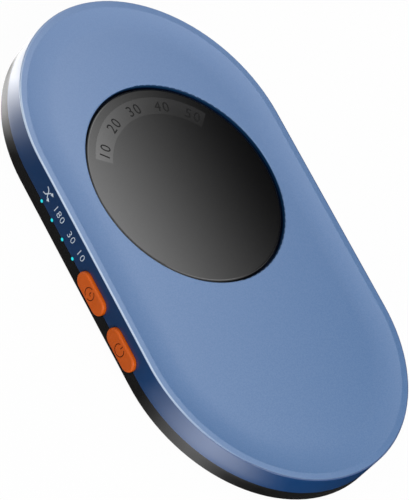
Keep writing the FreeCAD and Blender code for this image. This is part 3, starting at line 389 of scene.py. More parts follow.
@dataclass(frozen=True)
class CoverPaint(Finish):
    """The top cover: satin blue with a fine sparkle above, glossy navy walls, a dull navy bore, with
    painted shade on the wall with the buttons, a painted highlight along the left rim and painted light
    towards the far end.
    """

    # near and far: the cover's blue, painted lighter towards the far end along length, a painted light
    # gradient
    near: Colour = (0.0635, 0.160, 0.355)
    far_painted_light: Colour = (0.116, 0.216, 0.427)
    length: Span = (-65.0 * MM, 65.0 * MM)
    band: Colour = (0.002, 0.049, 0.178)
    # side: the band's navy darkened along the straight wall with the buttons, a painted shade
    side: Colour = (0.002, 0.036, 0.130)
    shade_across: Span = (-37.0 * MM, -40.0 * MM)
    shade_start: Span = (-36.0 * MM, -18.0 * MM)
    shade_end: Span = (44.0 * MM, 28.0 * MM)
    wall_wave: float = 10.0 * MM
    bore: Colour = (0.001, 0.030, 0.090)
    bore_wave: float = 2.0 * MM
    hole: float = 29.3 * MM
    hole_level: float = 10.125 * MM
    under_level: float = 9.8 * MM
    wall_level: float = 10.32 * MM
    blur: float = 0.04 * MM
    rim: float = 0.4 * MM
    side_rise: float = 0.1 * MM
    side_fade: Span = (45.0 * MM, 25.0 * MM)
    near_rise: float = 0.22 * MM
    near_end: Span = (-46.0 * MM, -64.0 * MM)
    right_side: Span = (12.0 * MM, 35.0 * MM)
    most_rise: float = 0.32 * MM
    border: float = 2.0 * MM
    slope: float = 6.0 * MM
    ease: float = 9.0 * MM
    ease_start: Span = (0.0, 0.1 * MM)
    dish: float = 0.34 * MM
    sweep: float = 1.35
    lean: float = 60.0
    sparkle: Colour = linear(170, 190, 220)
    grain: float = 0.35 * MM
    grain_span: Span = (0.35, 0.65)
    grain_share: float = 0.06
    grain_depth: float = 0.005 * MM
    flake: float = 0.45 * MM
    flake_edge: Span = (0.22, 0.05)
    flake_limit: float = 0.72
    flake_share: float = 0.14
    # edge: a pale blue painted highlight along the left and far rim, fading towards the near end
    edge: Colour = (0.50, 0.62, 0.79)
    highlight_line: Span = (0.68 * MM, 0.3 * MM)
    highlight_left: Span = (0.0, -32.0 * MM)
    highlight_along: Span = (-66.0 * MM, -28.0 * MM)
    highlight_fade: Span = (40.0 * MM, 62.0 * MM)
    highlight_share: float = 0.9
    highlight_drop: float = 0.6
    polish_line: Span = (0.35 * MM, 0.25 * MM)
    polish_left: Span = (32.0 * MM, 10.0 * MM)
    polish_fade: Span = (45.0 * MM, 64.0 * MM)
    polish_drop: float = 0.85

    def paint(self, tree: Tree) -> Sock:
        """Build the two-tone shader, split at the rims by height.

        Args:
            tree: The material\'s tree.

        Returns:
            The shader.
        """
        where = tree.place()
        across, along, level = tree.split(where)
        reach, _ = tree.around(across, along)
        inset = HALF_WIDTH - reach
        in_hole = tree.length(across, along - DISC_ALONG) < self.hole
        end = along.ramp(*self.near_end).most(across.ramp(*self.right_side))
        rise = along.ramp(*self.side_fade) * self.side_rise + end * self.near_rise
        lift = rise.least(self.most_rise) + (self.wall_level - self.under_level)
        split = in_hole * (self.hole_level - self.under_level) + self.under_level
        split = split + (inset < self.rim) * lift
        on_top = (level - split).ramp(-self.blur, self.blur)
        # painted shade: the darker navy laid on the straight wall with the buttons
        painted_wall_shade = across.ramp(*self.shade_across) * along.ramp(*self.shade_start) * along.ramp(*self.shade_end)
        gloss = tree.principled(
            Base_Color=tree.mix(painted_wall_shade, self.band, self.side),
            Roughness=0.36 + (tree.noise(where, self.wall_wave, 2.0) - 0.5) * 0.06,
            Coat_Weight=0.6,
            Coat_Roughness=0.17,
        )
        bore = tree.principled(
            Base_Color=self.bore,
            Roughness=0.5 + (tree.noise(where, self.bore_wave, 2.0) - 0.5) * 0.1,
            Specular_IOR_Level=0.2,
        )
        satin = self._satin(tree, where, inset, across, along)
        return tree.blend(on_top, tree.blend(in_hole, gloss, bore), satin)

    def _satin(self, tree: Tree, where: Sock, inset: Sock, across: Sock, along: Sock) -> Sock:
        """The upper paint: the dish's slope eased to a curve, painted light that is lighter towards the
        far end, a painted highlight along the left rim, a glossier rim.

        Args:
            tree: The material's tree.
            where: The object coordinates.
            inset: How far a point is in from the outer wall.
            across: The point's X.
            along: The point's Y.

        Returns:
            The satin shader.
        """
        run = inset - self.border
        curved = (1.0 - run / self.ease).most(0.0) ** 2
        straight = (1.0 - run / self.slope).most(0.0)
        inside = run.ramp(*self.ease_start)
        height = (curved * self.sweep - straight) * inside + run.least(0.0) * self.lean
        dished = tree.bump(height + (self.sweep - 1.0) * (1.0 - inside), self.dish)
        grain = tree.noise(where, self.grain)
        distance, flake = tree.cells(where, self.flake)
        glint = distance.ramp(*self.flake_edge) * (tree.split(flake)[0] > self.flake_limit)
        glint = grain.ramp(*self.grain_span) * self.grain_share + glint * self.flake_share
        # painted light: the blue grows lighter towards the far end
        tone_with_painted_light = tree.mix(along.ramp(*self.length), self.near, self.far_painted_light)
        tone_with_painted_light = tree.mix(glint, tone_with_painted_light, self.sparkle)
        # painted highlight: the pale edge colour laid along the left rim, strongest on the left and far
        # side
        wear_and_rim_highlight = across.ramp(*self.highlight_left) * along.ramp(*self.highlight_along)
        wear_and_rim_highlight = wear_and_rim_highlight * (self.highlight_share - along.ramp(*self.highlight_fade) * self.highlight_drop)
        tone_with_painted_light = tree.mix(inset.ramp(*self.highlight_line) * wear_and_rim_highlight, tone_with_painted_light, self.edge)
        polish = across.ramp(*self.polish_left) * (1.0 - along.ramp(*self.polish_fade) * self.polish_drop)
        return tree.principled(
            Base_Color=tone_with_painted_light,
            Roughness=0.32 + (grain - 0.5) * 0.16,
            Specular_IOR_Level=0.52,
            Coat_Weight=inset.ramp(*self.polish_line) * polish,
            Coat_Roughness=0.12,
            Normal=tree.bump(grain, self.grain_depth, dished),
        )


@dataclass(frozen=True)
class SmokedGloss(Finish):
    """The disc: near-black polished plastic with turned hairlines and a duller edge."""

    colour: Colour = linear(9, 9, 10)
    speck_colour: Colour = linear(20, 20, 21)
    speck: float = 0.6 * MM
    speck_span: Span = (0.45, 0.8)
    hairline: float = 0.09 * MM
    depth: float = 0.0002 * MM
    edge: Span = (27.5 * MM, 27.7 * MM)

    def paint(self, tree: Tree) -> Sock:
        """Build the disc's shader, with faint turned rings.

        Args:
            tree: The material\'s tree.

        Returns:
            The shader.
        """
        where = tree.place(TO_DISC)
        across, along, _ = tree.split(where)
        radius = tree.length(across, along)
        specks = tree.noise(where, self.speck)
        rings = radius.cycle(self.hairline)
        return tree.principled(
            Base_Color=tree.mix(specks.ramp(*self.speck_span) * 0.25, self.colour, self.speck_colour),
            Roughness=0.06 + specks * 0.03 + radius.ramp(*self.edge) * 0.3,
            Normal=tree.bump(rings * 0.5 + specks * 0.5, self.depth),
        )


@dataclass(frozen=True)
class Film(Finish):
    """The disc's label: a grey film with a soft sheen."""

    colour: Colour = linear(7, 7, 7)
    # light: the paler grey of a painted highlight, reached outwards and towards the +X end
    light: Colour = linear(38, 38, 39)
    sheen_outward: Span = (20.8 * MM, 25.1 * MM)
    sheen_right: Span = (5.0 * MM, 15.0 * MM)
    grain: float = 0.2 * MM
    grain_span: Span = (0.4, 0.6)
    depth: float = 0.001 * MM

    def paint(self, tree: Tree) -> Sock:
        """Build the film's shader, with a painted highlight that makes it paler outwards and towards its
        +X end.

        Args:
            tree: The material\'s tree.

        Returns:
            The shader.
        """
        where = tree.place(TO_DISC)
        across, along, _ = tree.split(where)
        grain = tree.noise(where, self.grain)
        # painted highlight: paler outwards and towards the +X end
        pale = tree.length(across, along).ramp(*self.sheen_outward) * 0.55 + across.ramp(*self.sheen_right) * 0.3
        return tree.principled(
            Base_Color=tree.mix(pale + grain.ramp(*self.grain_span) * 0.1, self.colour, self.light),
            Roughness=0.07 + (grain - 0.5) * 0.04,
            Specular_IOR_Level=0.72,
            Normal=tree.bump(grain, self.depth),
        )


@dataclass(frozen=True)
class Ink(Finish):
    """Printed ink: flat, with slightly broken cover."""

    colour: Colour
    roughness: float = 0.5
    specular: float = 0.3
    grain: float = 0.12 * MM
    grain_span: Span = (0.4, 0.7)
    fade: float = 0.85

    def paint(self, tree: Tree) -> Sock:
        """Build the ink's shader.

        Args:
            tree: The material\'s tree.

        Returns:
            The shader.
        """
        grain = tree.noise(tree.place(), self.grain)
        wear_and_rim_highlight = tuple(part * self.fade for part in self.colour)
        return tree.principled(
            Base_Color=tree.mix(grain.ramp(*self.grain_span), self.colour, wear_and_rim_highlight),
            Roughness=self.roughness + (grain - 0.5) * 0.1,
            Specular_IOR_Level=self.specular,
        )


@dataclass(frozen=True)
class LitGuide(Finish):
    """The clear light guide: milky plastic whose outlets glow in their middles, their faces dark cyan as a
    painted shade round the glow.
    """

    milk: Colour = linear(205, 214, 218)
    # the outlets' faces: dark cyan, a painted shade round each glowing core
    outlet_painted_shade: Colour = linear(8, 80, 90)
    glow: Colour = linear(44, 226, 238)
    wall: Span = (-39.3 * MM, -39.6 * MM)
    first: float = 21.0 * MM
    pitch: float = 5.5 * MM
    level: float = 4.4 * MM
    core: Span = (0.5 * MM, 0.32 * MM)
    haze: float = 0.4 * MM

    def paint(self, tree: Tree) -> Sock:
        """Build the guide's shader, lit where it comes through the wall.

        Args:
            tree: The material\'s tree.

        Returns:
            The shader.
        """
        where = tree.place()
        across, along, level = tree.split(where)
        off = (along - self.first).cycle(2 * self.pitch) * (self.pitch / math.pi)
        shown = across.ramp(*self.wall)
        lit = shown * tree.length(off, level - self.level).ramp(*self.core)
        haze = tree.noise(where, self.haze, 2.0)
        return tree.principled(
            Base_Color=tree.mix(shown, self.milk, self.outlet_painted_shade),
            Roughness=0.25 + haze * 0.2,
            Emission_Color=tree.mix(lit, BLACK, self.glow),
            Emission_Strength=0.95,
        )


@dataclass(frozen=True)
class ContactTongue(Finish):
    """The inlet's tongue: black resin with gold contact strips on both faces."""

    resin: Colour = linear(36, 36, 38)
    gold: Colour = linear(222, 180, 96)
    last: float = 67.35 * MM
    level: float = 5.38 * MM
    half_depth: float = 0.3 * MM
    half: Span = (3.02 * MM, 3.0 * MM)
    pitch: float = 0.5 * MM
    strip: Span = (-0.15, 0.15)
    grain: float = 0.2 * MM
    depth: float = 0.003 * MM

    def paint(self, tree: Tree) -> Sock:
        """Build the tongue's shader.

        Args:
            tree: The material\'s tree.

        Returns:
            The shader.
        """
        where = tree.place()
        across, along, level = tree.split(where)
        inside = abs(across).ramp(*self.half) * (along < self.last)
        strip = across.cycle(self.pitch).ramp(*self.strip) * inside
        strip = strip * (abs(level - self.level) > self.half_depth)
        grain = tree.noise(where, self.grain)
        return tree.principled(
            Base_Color=tree.mix(strip, self.resin, self.gold),
            Metallic=strip,
            Roughness=0.5 - strip * 0.22 + (grain - 0.5) * 0.08,
            Normal=tree.bump(grain, self.depth),
        )


@dataclass(frozen=True)
class Metal(Finish):
    """Worked metal: fine lines along one direction and faint stains."""

    colour: Colour
    roughness: float = 0.3
    lines: Place = (1.0, 1.0, 1.0)
    line_size: float = 0.6 * MM
    depth: float = 0.002 * MM
    stain: float = 4.0 * MM
    stain_span: Span = (0.4, 0.75)
    fade: float = 0.8

    def paint(self, tree: Tree) -> Sock:
        """Build the metal's shader.

        Args:
            tree: The material\'s tree.

        Returns:
            The shader.
        """
        where = tree.place()
        lines = tree.noise(where, self.line_size, stretch=self.lines)
        stains = tree.noise(where, self.stain)
        dull = tuple(part * self.fade for part in self.colour)
        return tree.principled(
            Base_Color=tree.mix(stains.ramp(*self.stain_span) * 0.6, self.colour, dull),
            Metallic=1.0,
            Roughness=self.roughness + (stains - 0.5) * 0.12 + (lines - 0.5) * 0.1,
            Normal=tree.bump(lines, self.depth),
        )


@dataclass(frozen=True)
class Laminated(Finish):
    """The rotor: thin stamped plates stacked along the shaft."""

    bright: Colour = linear(120, 116, 112)
    dull: Colour = linear(96, 92, 90)
    gap: Colour = linear(40, 38, 37)
    plate: float = 0.35 * MM
    joint: Span = (0.7, 0.95)
    depth: float = 0.02 * MM
    stain: float = 1.0 * MM

    def paint(self, tree: Tree) -> Sock:
        """Build the stack's shader.

        Args:
            tree: The material\'s tree.

        Returns:
            The shader.
        """
        where = tree.place()
        joint = tree.split(where)[0].cycle(self.plate).ramp(*self.joint)
        stains = tree.noise(where, self.stain)
        return tree.principled(
            Base_Color=tree.mix(joint, tree.mix(stains, self.bright, self.dull), self.gap),
            Metallic=1.0,
            Roughness=0.38 + (stains - 0.5) * 0.15,
            Normal=tree.bump(1.0 - joint, self.depth),
        )


@dataclass(frozen=True)
class Grained(Finish):
    """Pressed grains: each with its own shade, as in the magnet, or clouded, as on a chip's case."""

    dark: Colour
    light: Colour
    roughness: float
    grain: float
    depth: float
    cloud: float = 0.0

    def paint(self, tree: Tree) -> Sock:
        """Build the shader, clouded where the clouds have a size.

        Args:
            tree: The material\'s tree.

        Returns:
            The shader.
        """
        where = tree.place()
        distance, colour = tree.cells(where, self.grain)
        shade = tree.noise(where, self.cloud) if self.cloud else tree.split(colour)[0]
        return tree.principled(
            Base_Color=tree.mix(shade, self.dark, self.light),
            Roughness=self.roughness + shade * 0.2,
            Normal=tree.bump(distance, self.depth),
        )


@dataclass(frozen=True)
class BoardResin(Finish):
    """The circuit board: green mask over a weave, with pale tracks under it."""

    mask: Colour = linear(12, 74, 44)
    track: Colour = linear(38, 112, 66)
    land: Colour = linear(196, 186, 160)
    hole: Colour = linear(20, 24, 20)
    cut: tuple[Colour, Colour] = (linear(120, 124, 74), linear(150, 148, 96))
    cut_span: Span = (-0.2, 0.6)
    weave: float = TURN / 9000.0
    track_size: float = 2.4 * MM
    track_outer: Span = (0.10, 0.07)
    track_inner: Span = (0.045, 0.03)
    land_size: float = 1.6 * MM
    land_edge: Span = (0.17, 0.14)
    hole_edge: Span = (0.08, 0.06)
    land_limit: float = 0.6
    middle: float = 3.3 * MM
    face: Span = (0.40 * MM, 0.47 * MM)
    depth: float = 0.02 * MM

    def paint(self, tree: Tree) -> Sock:
        """Build the board's shader: tracks and lands on its faces, cut weave on its edge.

        Args:
            tree: The material\'s tree.

        Returns:
            The shader.
        """
        where = tree.place()
        across, along, level = tree.split(where)
        weave = across.cycle(self.weave) * along.cycle(self.weave)
        distance = tree.seams(where, self.track_size)
        track = distance.ramp(*self.track_outer) - distance.ramp(*self.track_inner)
        spot, shade = tree.cells(where, self.land_size)
        chosen = tree.split(shade)[0] > self.land_limit
        land = spot.ramp(*self.land_edge) * chosen
        face = abs(level - self.middle).ramp(*self.face)
        top = tree.mix(track, self.mask, self.track)
        top = tree.mix(land, top, self.land)
        top = tree.mix(spot.ramp(*self.hole_edge) * chosen, top, self.hole)
        return tree.principled(
            Base_Color=tree.mix(face, tree.mix(weave.ramp(*self.cut_span), *self.cut), top),
            Metallic=land * face * 0.7,
            Roughness=0.34 + weave * 0.05,
            Normal=tree.bump(track * 0.6 + weave * 0.1, self.depth),
        )


@dataclass(frozen=True)
class Sleeve(Finish):
    """The capacitor: printed sleeve below, bare aluminium top."""

    bare: Colour = linear(206, 208, 210)
    printed: Colour = linear(30, 36, 62)
    stripe: Colour = linear(150, 156, 176)
    foot: Colour = linear(24, 24, 25)
    top: Span = (7.7 * MM, 7.85 * MM)
    stripe_edge: Span = (-25.2 * MM, -25.35 * MM)
    foot_edge: Span = (4.45 * MM, 4.3 * MM)
    grain: float = 0.4 * MM
    depth: float = 0.003 * MM

    def paint(self, tree: Tree) -> Sock:
        """Build the capacitor's shader, split at its rolled top.

        Args:
            tree: The material\'s tree.

        Returns:
            The shader.
        """
        where = tree.place()
        across, _, level = tree.split(where)
        top = level.ramp(*self.top)
        sleeve = tree.mix(across.ramp(*self.stripe_edge), self.printed, self.stripe)
        sleeve = tree.mix(level.ramp(*self.foot_edge), sleeve, self.foot)
        grain = tree.noise(where, self.grain)
        return tree.principled(
            Base_Color=tree.mix(top, sleeve, self.bare),
            Metallic=top,
            Roughness=0.36 + (grain - 0.5) * 0.15,
            Normal=tree.bump(grain, self.depth),
        )


@dataclass(frozen=True)
class Lamp(Finish):
    """A side light: white case with a yellow lens on top."""

    case: tuple[Colour, Colour] = (linear(226, 226, 220), linear(238, 238, 234))
    lens: Colour = linear(226, 206, 96)
    glow: Colour = linear(40, 200, 215)
    level: Span = (4.7 * MM, 4.8 * MM)
    haze: float = 0.2 * MM

    def paint(self, tree: Tree) -> Sock:
        """Build the lamp's shader.

        Args:
            tree: The material\'s tree.

        Returns:
            The shader.
        """
        where = tree.place()
        lens = tree.split(where)[2].ramp(*self.level)
        haze = tree.noise(where, self.haze, 2.0)
        return tree.principled(
            Base_Color=tree.mix(lens, tree.mix(haze, *self.case), self.lens),
            Roughness=0.42 + (haze - 0.5) * 0.2,
            Emission_Color=tree.mix(lens, BLACK, self.glow),
            Emission_Strength=0.4,
        )


PALE_INK = Ink("pale_ink", linear(214, 226, 240), 0.5)
BROWN_INK = Ink("brown_ink", linear(82, 30, 8), 0.7, 0.1)
FILM_INK = Ink("film_ink", linear(12, 12, 13), 0.3, 0.1)

NODE_FINISHES: dict[Finish, tuple[str, ...]] = {
    CoverPaint("cover_paint"): ("top_cover",),
    Moulding("black_base", linear(20, 20, 20), 0.24, 0.0003, 0.000002, 0.08): ("bottom_cover",),
    Moulding("foot_rubber", linear(30, 30, 30), 0.8, 0.0002, 0.00002, 0.15, 0.3): (
        "foot_far_right", "foot_far_left", "foot_near_right", "foot_near_left",
    ),
    Metal("dark_screw", linear(64, 64, 68), 0.36, (1.0, 1.0, 0.2), 0.0003): ("cover_screws",),
    SmokedGloss("smoked_gloss"): ("turntable_face",),
    Film("label_film"): ("face_label",),
    Moulding("black_moulding", linear(22, 22, 23), 0.45): ("turntable_carrier", "motor_end_cap"),
    Moulding("dust_ring_navy", linear(8, 28, 58), 0.6, 0.0003, 0.000004, 0.1, 0.15): ("dust_ring",),
    Metal("brass", linear(206, 168, 96), 0.28, (0.2, 1.0, 1.0), 0.0003): (
        "turntable_bush", "shaft_bush", "drive_worm",
    ),
    Moulding("white_moulding", linear(226, 224, 216), 0.42, 0.0003, 0.000003, 0.03): (
        "thrust_washer", "reduction_gear",
    ),
    Metal("steel", linear(186, 188, 190), 0.3, (0.2, 1.0, 1.0), 0.0004): (
        "retaining_washer", "hub_screw", "gear_pin", "motor_can", "motor_shaft", "motor_strap",
        "strap_screws", "board_screws", "usb_socket",
    ),
    Grained("sintered_magnet", linear(44, 43, 45), linear(66, 65, 68), 0.55, 0.00025, 0.00001): (
        "motor_magnet",
    ),
    Laminated("laminated_iron"): ("motor_rotor",),
    Moulding("red_sheath", linear(176, 26, 22), 0.34, 0.0003, 0.000003, 0.06): ("motor_lead_red",),
    Moulding("black_sheath", linear(24, 24, 25), 0.34, 0.0003, 0.000003, 0.06): ("motor_lead_black",),
    BoardResin("board_resin"): ("main_board",),
    Moulding("switch_case", linear(36, 36, 38), 0.5, 0.0002, 0.000004): ("mode_switch", "power_switch"),
    ContactTongue("contact_tongue"): ("usb_contacts",),
    Lamp("side_light"): ("led_random", "led_180", "led_30", "led_10"),
    LitGuide("lit_guide"): ("light_guide",),
    Grained("chip_case", linear(26, 26, 28), linear(38, 38, 40), 0.52, 0.00022, 0.000012, 0.0008): (
        "controller_chip", "motor_driver",
    ),
    Sleeve("capacitor_sleeve"): ("board_capacitor",),
    Moulding("orange_key", linear(214, 92, 8), 0.4, 0.00022, 0.000004, 0.06, 0.3): (
        "mode_button", "power_button",
    ),
    Moulding("plunger", linear(176, 172, 160), 0.4, 0.0002, 0.000003, 0.05): (
        "mode_plunger", "power_plunger",
    ),
}


def put(name: str, data: Any) -> bpy.types.Object:
    """Add an object to the scene, at the world's origin.

    Args:
        name: The object's name.
        data: Its mesh, curve, light or camera.

    Returns:
        The object.
    """
    thing = bpy.data.objects.new(name, data)
    bpy.context.scene.collection.objects.link(thing)
    return thing


def spread(shape: Shape, axis: int) -> Span:
    """The lowest and highest place of a bmesh along an axis."""
    places = [vert.co[axis] for vert in shape.verts]
    return min(places), max(places)


@dataclass
class Bench:
    """Draws flat shapes and seats them on their bodies with a finish."""

    weld: float = 1e-7
    letter_steps: int = 4
    line_steps: int = 6
    round_steps: int = 2

    def seat(self, name: str, shape: Shape, body: Body, finish: Finish) -> None:
        """Turn a bmesh into a finished piece with its faces outwards.

        Args:
            name: The piece's name.
            shape: Its bmesh in the frame's place, freed here.
            body: The body it rides on.
            finish: Its finish.
        """
        bmesh.ops.remove_doubles(shape, verts=shape.verts, dist=self.weld)
        bmesh.ops.recalc_face_normals(shape, faces=shape.faces)
        for face in shape.faces:
            face.smooth = False
        mesh = bpy.data.meshes.new(name)
        shape.to_mesh(mesh)
        shape.free()
        mesh.materials.append(finish.material())
        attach(put(name, mesh), body.value)
        LOG.info("piece %s on %s: %d faces", name, body.value, len(mesh.polygons))

    def sign(self, name: str, shape: Shape, place: Place, body: Body, ink: Finish) -> None:
        """Seat a drawing on a wall that faces -X, read from outside, with its middle at a place."""
        shape.transform(Matrix.Translation(place) @ TO_WALL)
        self.seat(name, shape, body, ink)

    def from_curve(self, curve: bpy.types.Curve) -> Shape:
        """A curve or text as a bmesh, with the curve removed.

        Args:
            curve: The curve data.

        Returns:
            A new bmesh of its surface.
        """
        holder = put("holder", curve)
        bpy.context.view_layer.update()
        graph = bpy.context.evaluated_depsgraph_get()
        mesh = bpy.data.meshes.new_from_object(holder.evaluated_get(graph))
        shape = bmesh.new()
        shape.from_mesh(mesh)
        bpy.data.objects.remove(holder)
        bpy.data.curves.remove(curve)
        bpy.data.meshes.remove(mesh)
        bmesh.ops.remove_doubles(shape, verts=shape.verts, dist=self.weld)
        return shape

    def word(
        self, text: str, height: float, thick: float, spacing: float = 1.0, weight: float = 0.0
    ) -> Shape:
        """Plain characters, centred on the origin in the XY plane.

        Args:
            text: The characters.
            height: Their height in metres.
            thick: How thick they are.
            spacing: How wide they are set.
            weight: How much their strokes are widened, or thinned below 0, before they are scaled.

        Returns:
            The characters' bmesh.
        """
        curve = bpy.data.curves.new("characters", "FONT")
        curve.body = text
        curve.align_x = "CENTER"
        curve.align_y = "CENTER"
        curve.space_character = spacing
        curve.offset = weight
        curve.extrude = 0.5
        curve.resolution_u = self.letter_steps
        shape = self.from_curve(curve)
        low, high = spread(shape, 1)
        share = height / (high - low)
        bmesh.ops.scale(shape, verts=shape.verts, vec=(share, share, thick))
        middle = [-sum(spread(shape, axis)) / 2 for axis in (0, 1)]
        bmesh.ops.translate(shape, verts=shape.verts, vec=(*middle, 0))
        return shape

    def stroke(self, points: Sequence[Point], width: float, thick: float) -> Shape:
        """A drawn line with round sides, flattened to a thickness.

        Args:
            points: The control points of its line, in metres.
            width: The line's width.
            thick: Its thickness.

        Returns:
            The line's bmesh, in the XY plane.
        """
        curve = bpy.data.curves.new("stroke", "CURVE")
        curve.dimensions = "3D"
        curve.bevel_depth = width / 2
        curve.bevel_resolution = self.round_steps
        curve.resolution_u = self.line_steps
        curve.use_fill_caps = True
        line = curve.splines.new("NURBS")
        line.points.add(len(points) - 1)
        for point, (x, y) in zip(line.points, points):
            point.co = (x, y, 0, 1)
        line.order_u = 3
        line.use_endpoint_u = True
        shape = self.from_curve(curve)
        bmesh.ops.scale(shape, verts=shape.verts, vec=(1, 1, thick / width))
        return shape

    def gather(self, shapes: Iterable[Shape]) -> Shape:
        """Join several bmeshes into one.

        Args:
            shapes: The bmeshes, freed here.

        Returns:
            The joined bmesh.
        """
        whole = bmesh.new()
        for shape in shapes:
            mesh = bpy.data.meshes.new("part")
            shape.to_mesh(mesh)
            shape.free()
            whole.from_mesh(mesh)
            bpy.data.meshes.remove(mesh)
        return whole


def arc(radius: float, start: float, end: float, steps: int) -> list[Point]:
    """Points along an arc about the origin, angles in degrees."""
    angles = [math.radians(start + (end - start) * step / steps) for step in range(steps + 1)]
    return [(radius * math.cos(angle), radius * math.sin(angle)) for angle in angles]


@dataclass
class SideMarks:
    """Signs beside the four lights: a shuffle sign and three plain numbers."""

    bench: Bench
    front: float = -HALF_WIDTH
    thick: float = MARK_THICK
    level: float = 7.5 * MM
    height: float = 1.95 * MM
    spacing: float = 1.15
    weight: float = -0.012
    numbers: tuple[tuple[str, float], ...] = (("180", 14.9 * MM), ("30", 8.6 * MM), ("10", 3.3 * MM))
    shuffle_along: float = 21.1 * MM
    shuffle_half: float = 1.35 * MM
    shuffle_rise: float = 1.1 * MM
    shuffle_line: tuple[Point, ...] = ((-1.0, 1.0), (-0.45, 1.0), (0.0, 0.0), (0.35, -0.9), (0.75, -1.0))
    line: float = 0.3 * MM
    head: float = 0.62 * MM
    head_share: float = 1.05

    def make(self) -> None:
        """Make the printed signs."""
        for text, along in self.numbers:
            shape = self.bench.word(text, self.height, self.thick, self.spacing, self.weight)
            self.bench.sign(f"mark_{text}", shape, (self.front, along, self.level), Body.CASING, PALE_INK)
        parts = []
        for side in (1, -1):
            points = [(x * self.shuffle_half, y * side * self.shuffle_rise) for x, y in self.shuffle_line]
            parts.append(self.bench.stroke(points, self.line, self.thick * 2))
            parts.append(self._arrowhead(self.shuffle_half * self.head_share, -side * self.shuffle_rise))
        place = (self.front, self.shuffle_along, self.level)
        self.bench.sign("mark_shuffle", self.bench.gather(parts), place, Body.CASING, PALE_INK)

    def _arrowhead(self, x: float, y: float) -> Shape:
        """A small three-sided head that points along +X.

        Args:
            x: Its tip's place, less half its radius.
            y: Its middle's place.

        Returns:
            The head's bmesh.
        """
        shape = bmesh.new()
        bmesh.ops.create_cone(
            shape, cap_ends=True, segments=3, radius1=self.head, radius2=self.head, depth=self.thick
        )
        turn = Matrix.Rotation(math.radians(-90), 4, "Z")
        place = Matrix.Translation((x - self.head * 0.5, y, 0))
        bmesh.ops.transform(shape, matrix=place @ turn, verts=shape.verts)
        return shape


@dataclass
class KeySigns:
    """The signs let into the two side buttons: shares of a radius, angles in degrees."""

    bench: Bench
    front: float = -41.1 * MM
    level: float = 5.0 * MM
    thick: float = MARK_THICK
    line: float = 0.24 * MM
    radius: float = 1.6 * MM
    mode_along: float = -5.65 * MM
    mode_arcs: tuple[Span, ...] = ((100.0, 250.0), (280.0, 430.0))
    mode_hands: tuple[tuple[Point, Point], ...] = (((0.0, 0.5), (0.0, 0.0)), ((0.0, 0.0), (0.38, -0.1)))
    power_along: float = -21.4 * MM
    power_arcs: tuple[Span, ...] = ((125.0, 415.0),)
    power_bars: tuple[tuple[Point, Point], ...] = (((0.0, 1.05), (0.0, 0.35)),)
    arc_step: float = 12.5
    long_arc_step: float = 14.5

    def make(self) -> None:
        """Make both signs."""
        mode = self._lines(self.mode_arcs, self.arc_step, self.mode_hands)
        power = self._lines(self.power_arcs, self.long_arc_step, self.power_bars)
        place = (self.front, self.mode_along, self.level)
        self.bench.sign("mode_sign", mode, place, Body.MODE_KEY, BROWN_INK)
        place = (self.front, self.power_along, self.level)
        self.bench.sign("power_sign", power, place, Body.POWER_KEY, BROWN_INK)

    def _lines(self, arcs: Sequence[Span], step: float, bars: Sequence[tuple[Point, Point]]) -> Shape:
        """The arcs and bars of a sign.

        Args:
            arcs: Where its arcs start and end.
            step: The angle between two points of an arc.
            bars: The ends of its bars.

        Returns:
            The sign's bmesh.
        """
        lines = [arc(self.radius, start, end, round((end - start) / step)) for start, end in arcs]
        lines += [[(x * self.radius, y * self.radius) for x, y in bar] for bar in bars]
        return self.bench.gather(self.bench.stroke(line, self.line, self.thick) for line in lines)


@dataclass
class DiscScale:
    """Plain numbers on the disc's label, read round its edge."""

    bench: Bench
    along: float = DISC_ALONG
    level: float = 9.55 * MM
    radius: float = 22.7 * MM
    height: float = 2.9 * MM
    spacing: float = 1.2
    thick: float = MARK_THICK
    start: float = 145.0
    step: float = -23.1
    numbers: tuple[str, ...] = ("10", "20", "30", "40", "50")

    def make(self) -> None:
        """Make the row of numbers as one piece."""
        shapes = []
        for index, text in enumerate(self.numbers):
            angle = self.start + self.step * index
            shape = self.bench.word(text, self.height, self.thick, self.spacing)
            turn = Matrix.Rotation(math.radians(angle - 90), 4, "Z")
            shape.transform(turn @ Matrix.Translation((0, self.radius, 0)))
            shapes.append(shape)
        whole = self.bench.gather(shapes)
        whole.transform(Matrix.Translation((0, self.along, self.level)))
        self.bench.seat("disc_numbers", whole, Body.TURNTABLE, FILM_INK)


@dataclass
class Dressing:
    """Gives every node of the frame its finish."""

    finishes: dict[Finish, tuple[str, ...]]

    def make(self) -> None:
        """Assign the finishes to the nodes' own material slots."""
        left = set(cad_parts)
        for finish, names in self.finishes.items():
            for name in names:
                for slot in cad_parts[name].material_slots:
                    slot.material = finish.material()
                left.discard(name)
            LOG.info("finish %s on %s", finish.name, ", ".join(names))
        if left:
            raise ValueError(f"nodes without a finish: {sorted(left)}")


@dataclass(frozen=True)
class AreaLamp:
    """A rectangular lamp that looks at the device."""

    name: str
    place: Place
    size: Point
    watts: float

    def make(self) -> None:
        """Hang the lamp."""
        light = bpy.data.lights.new(self.name, "AREA")
        light.shape = "RECTANGLE"
        light.size, light.size_y = self.size
        light.energy = self.watts
        lamp = put(self.name, light)
        lamp.location = self.place
        lamp.rotation_mode = "QUATERNION"
        lamp.rotation_quaternion = Vector(self.place).to_track_quat("Z", "Y")


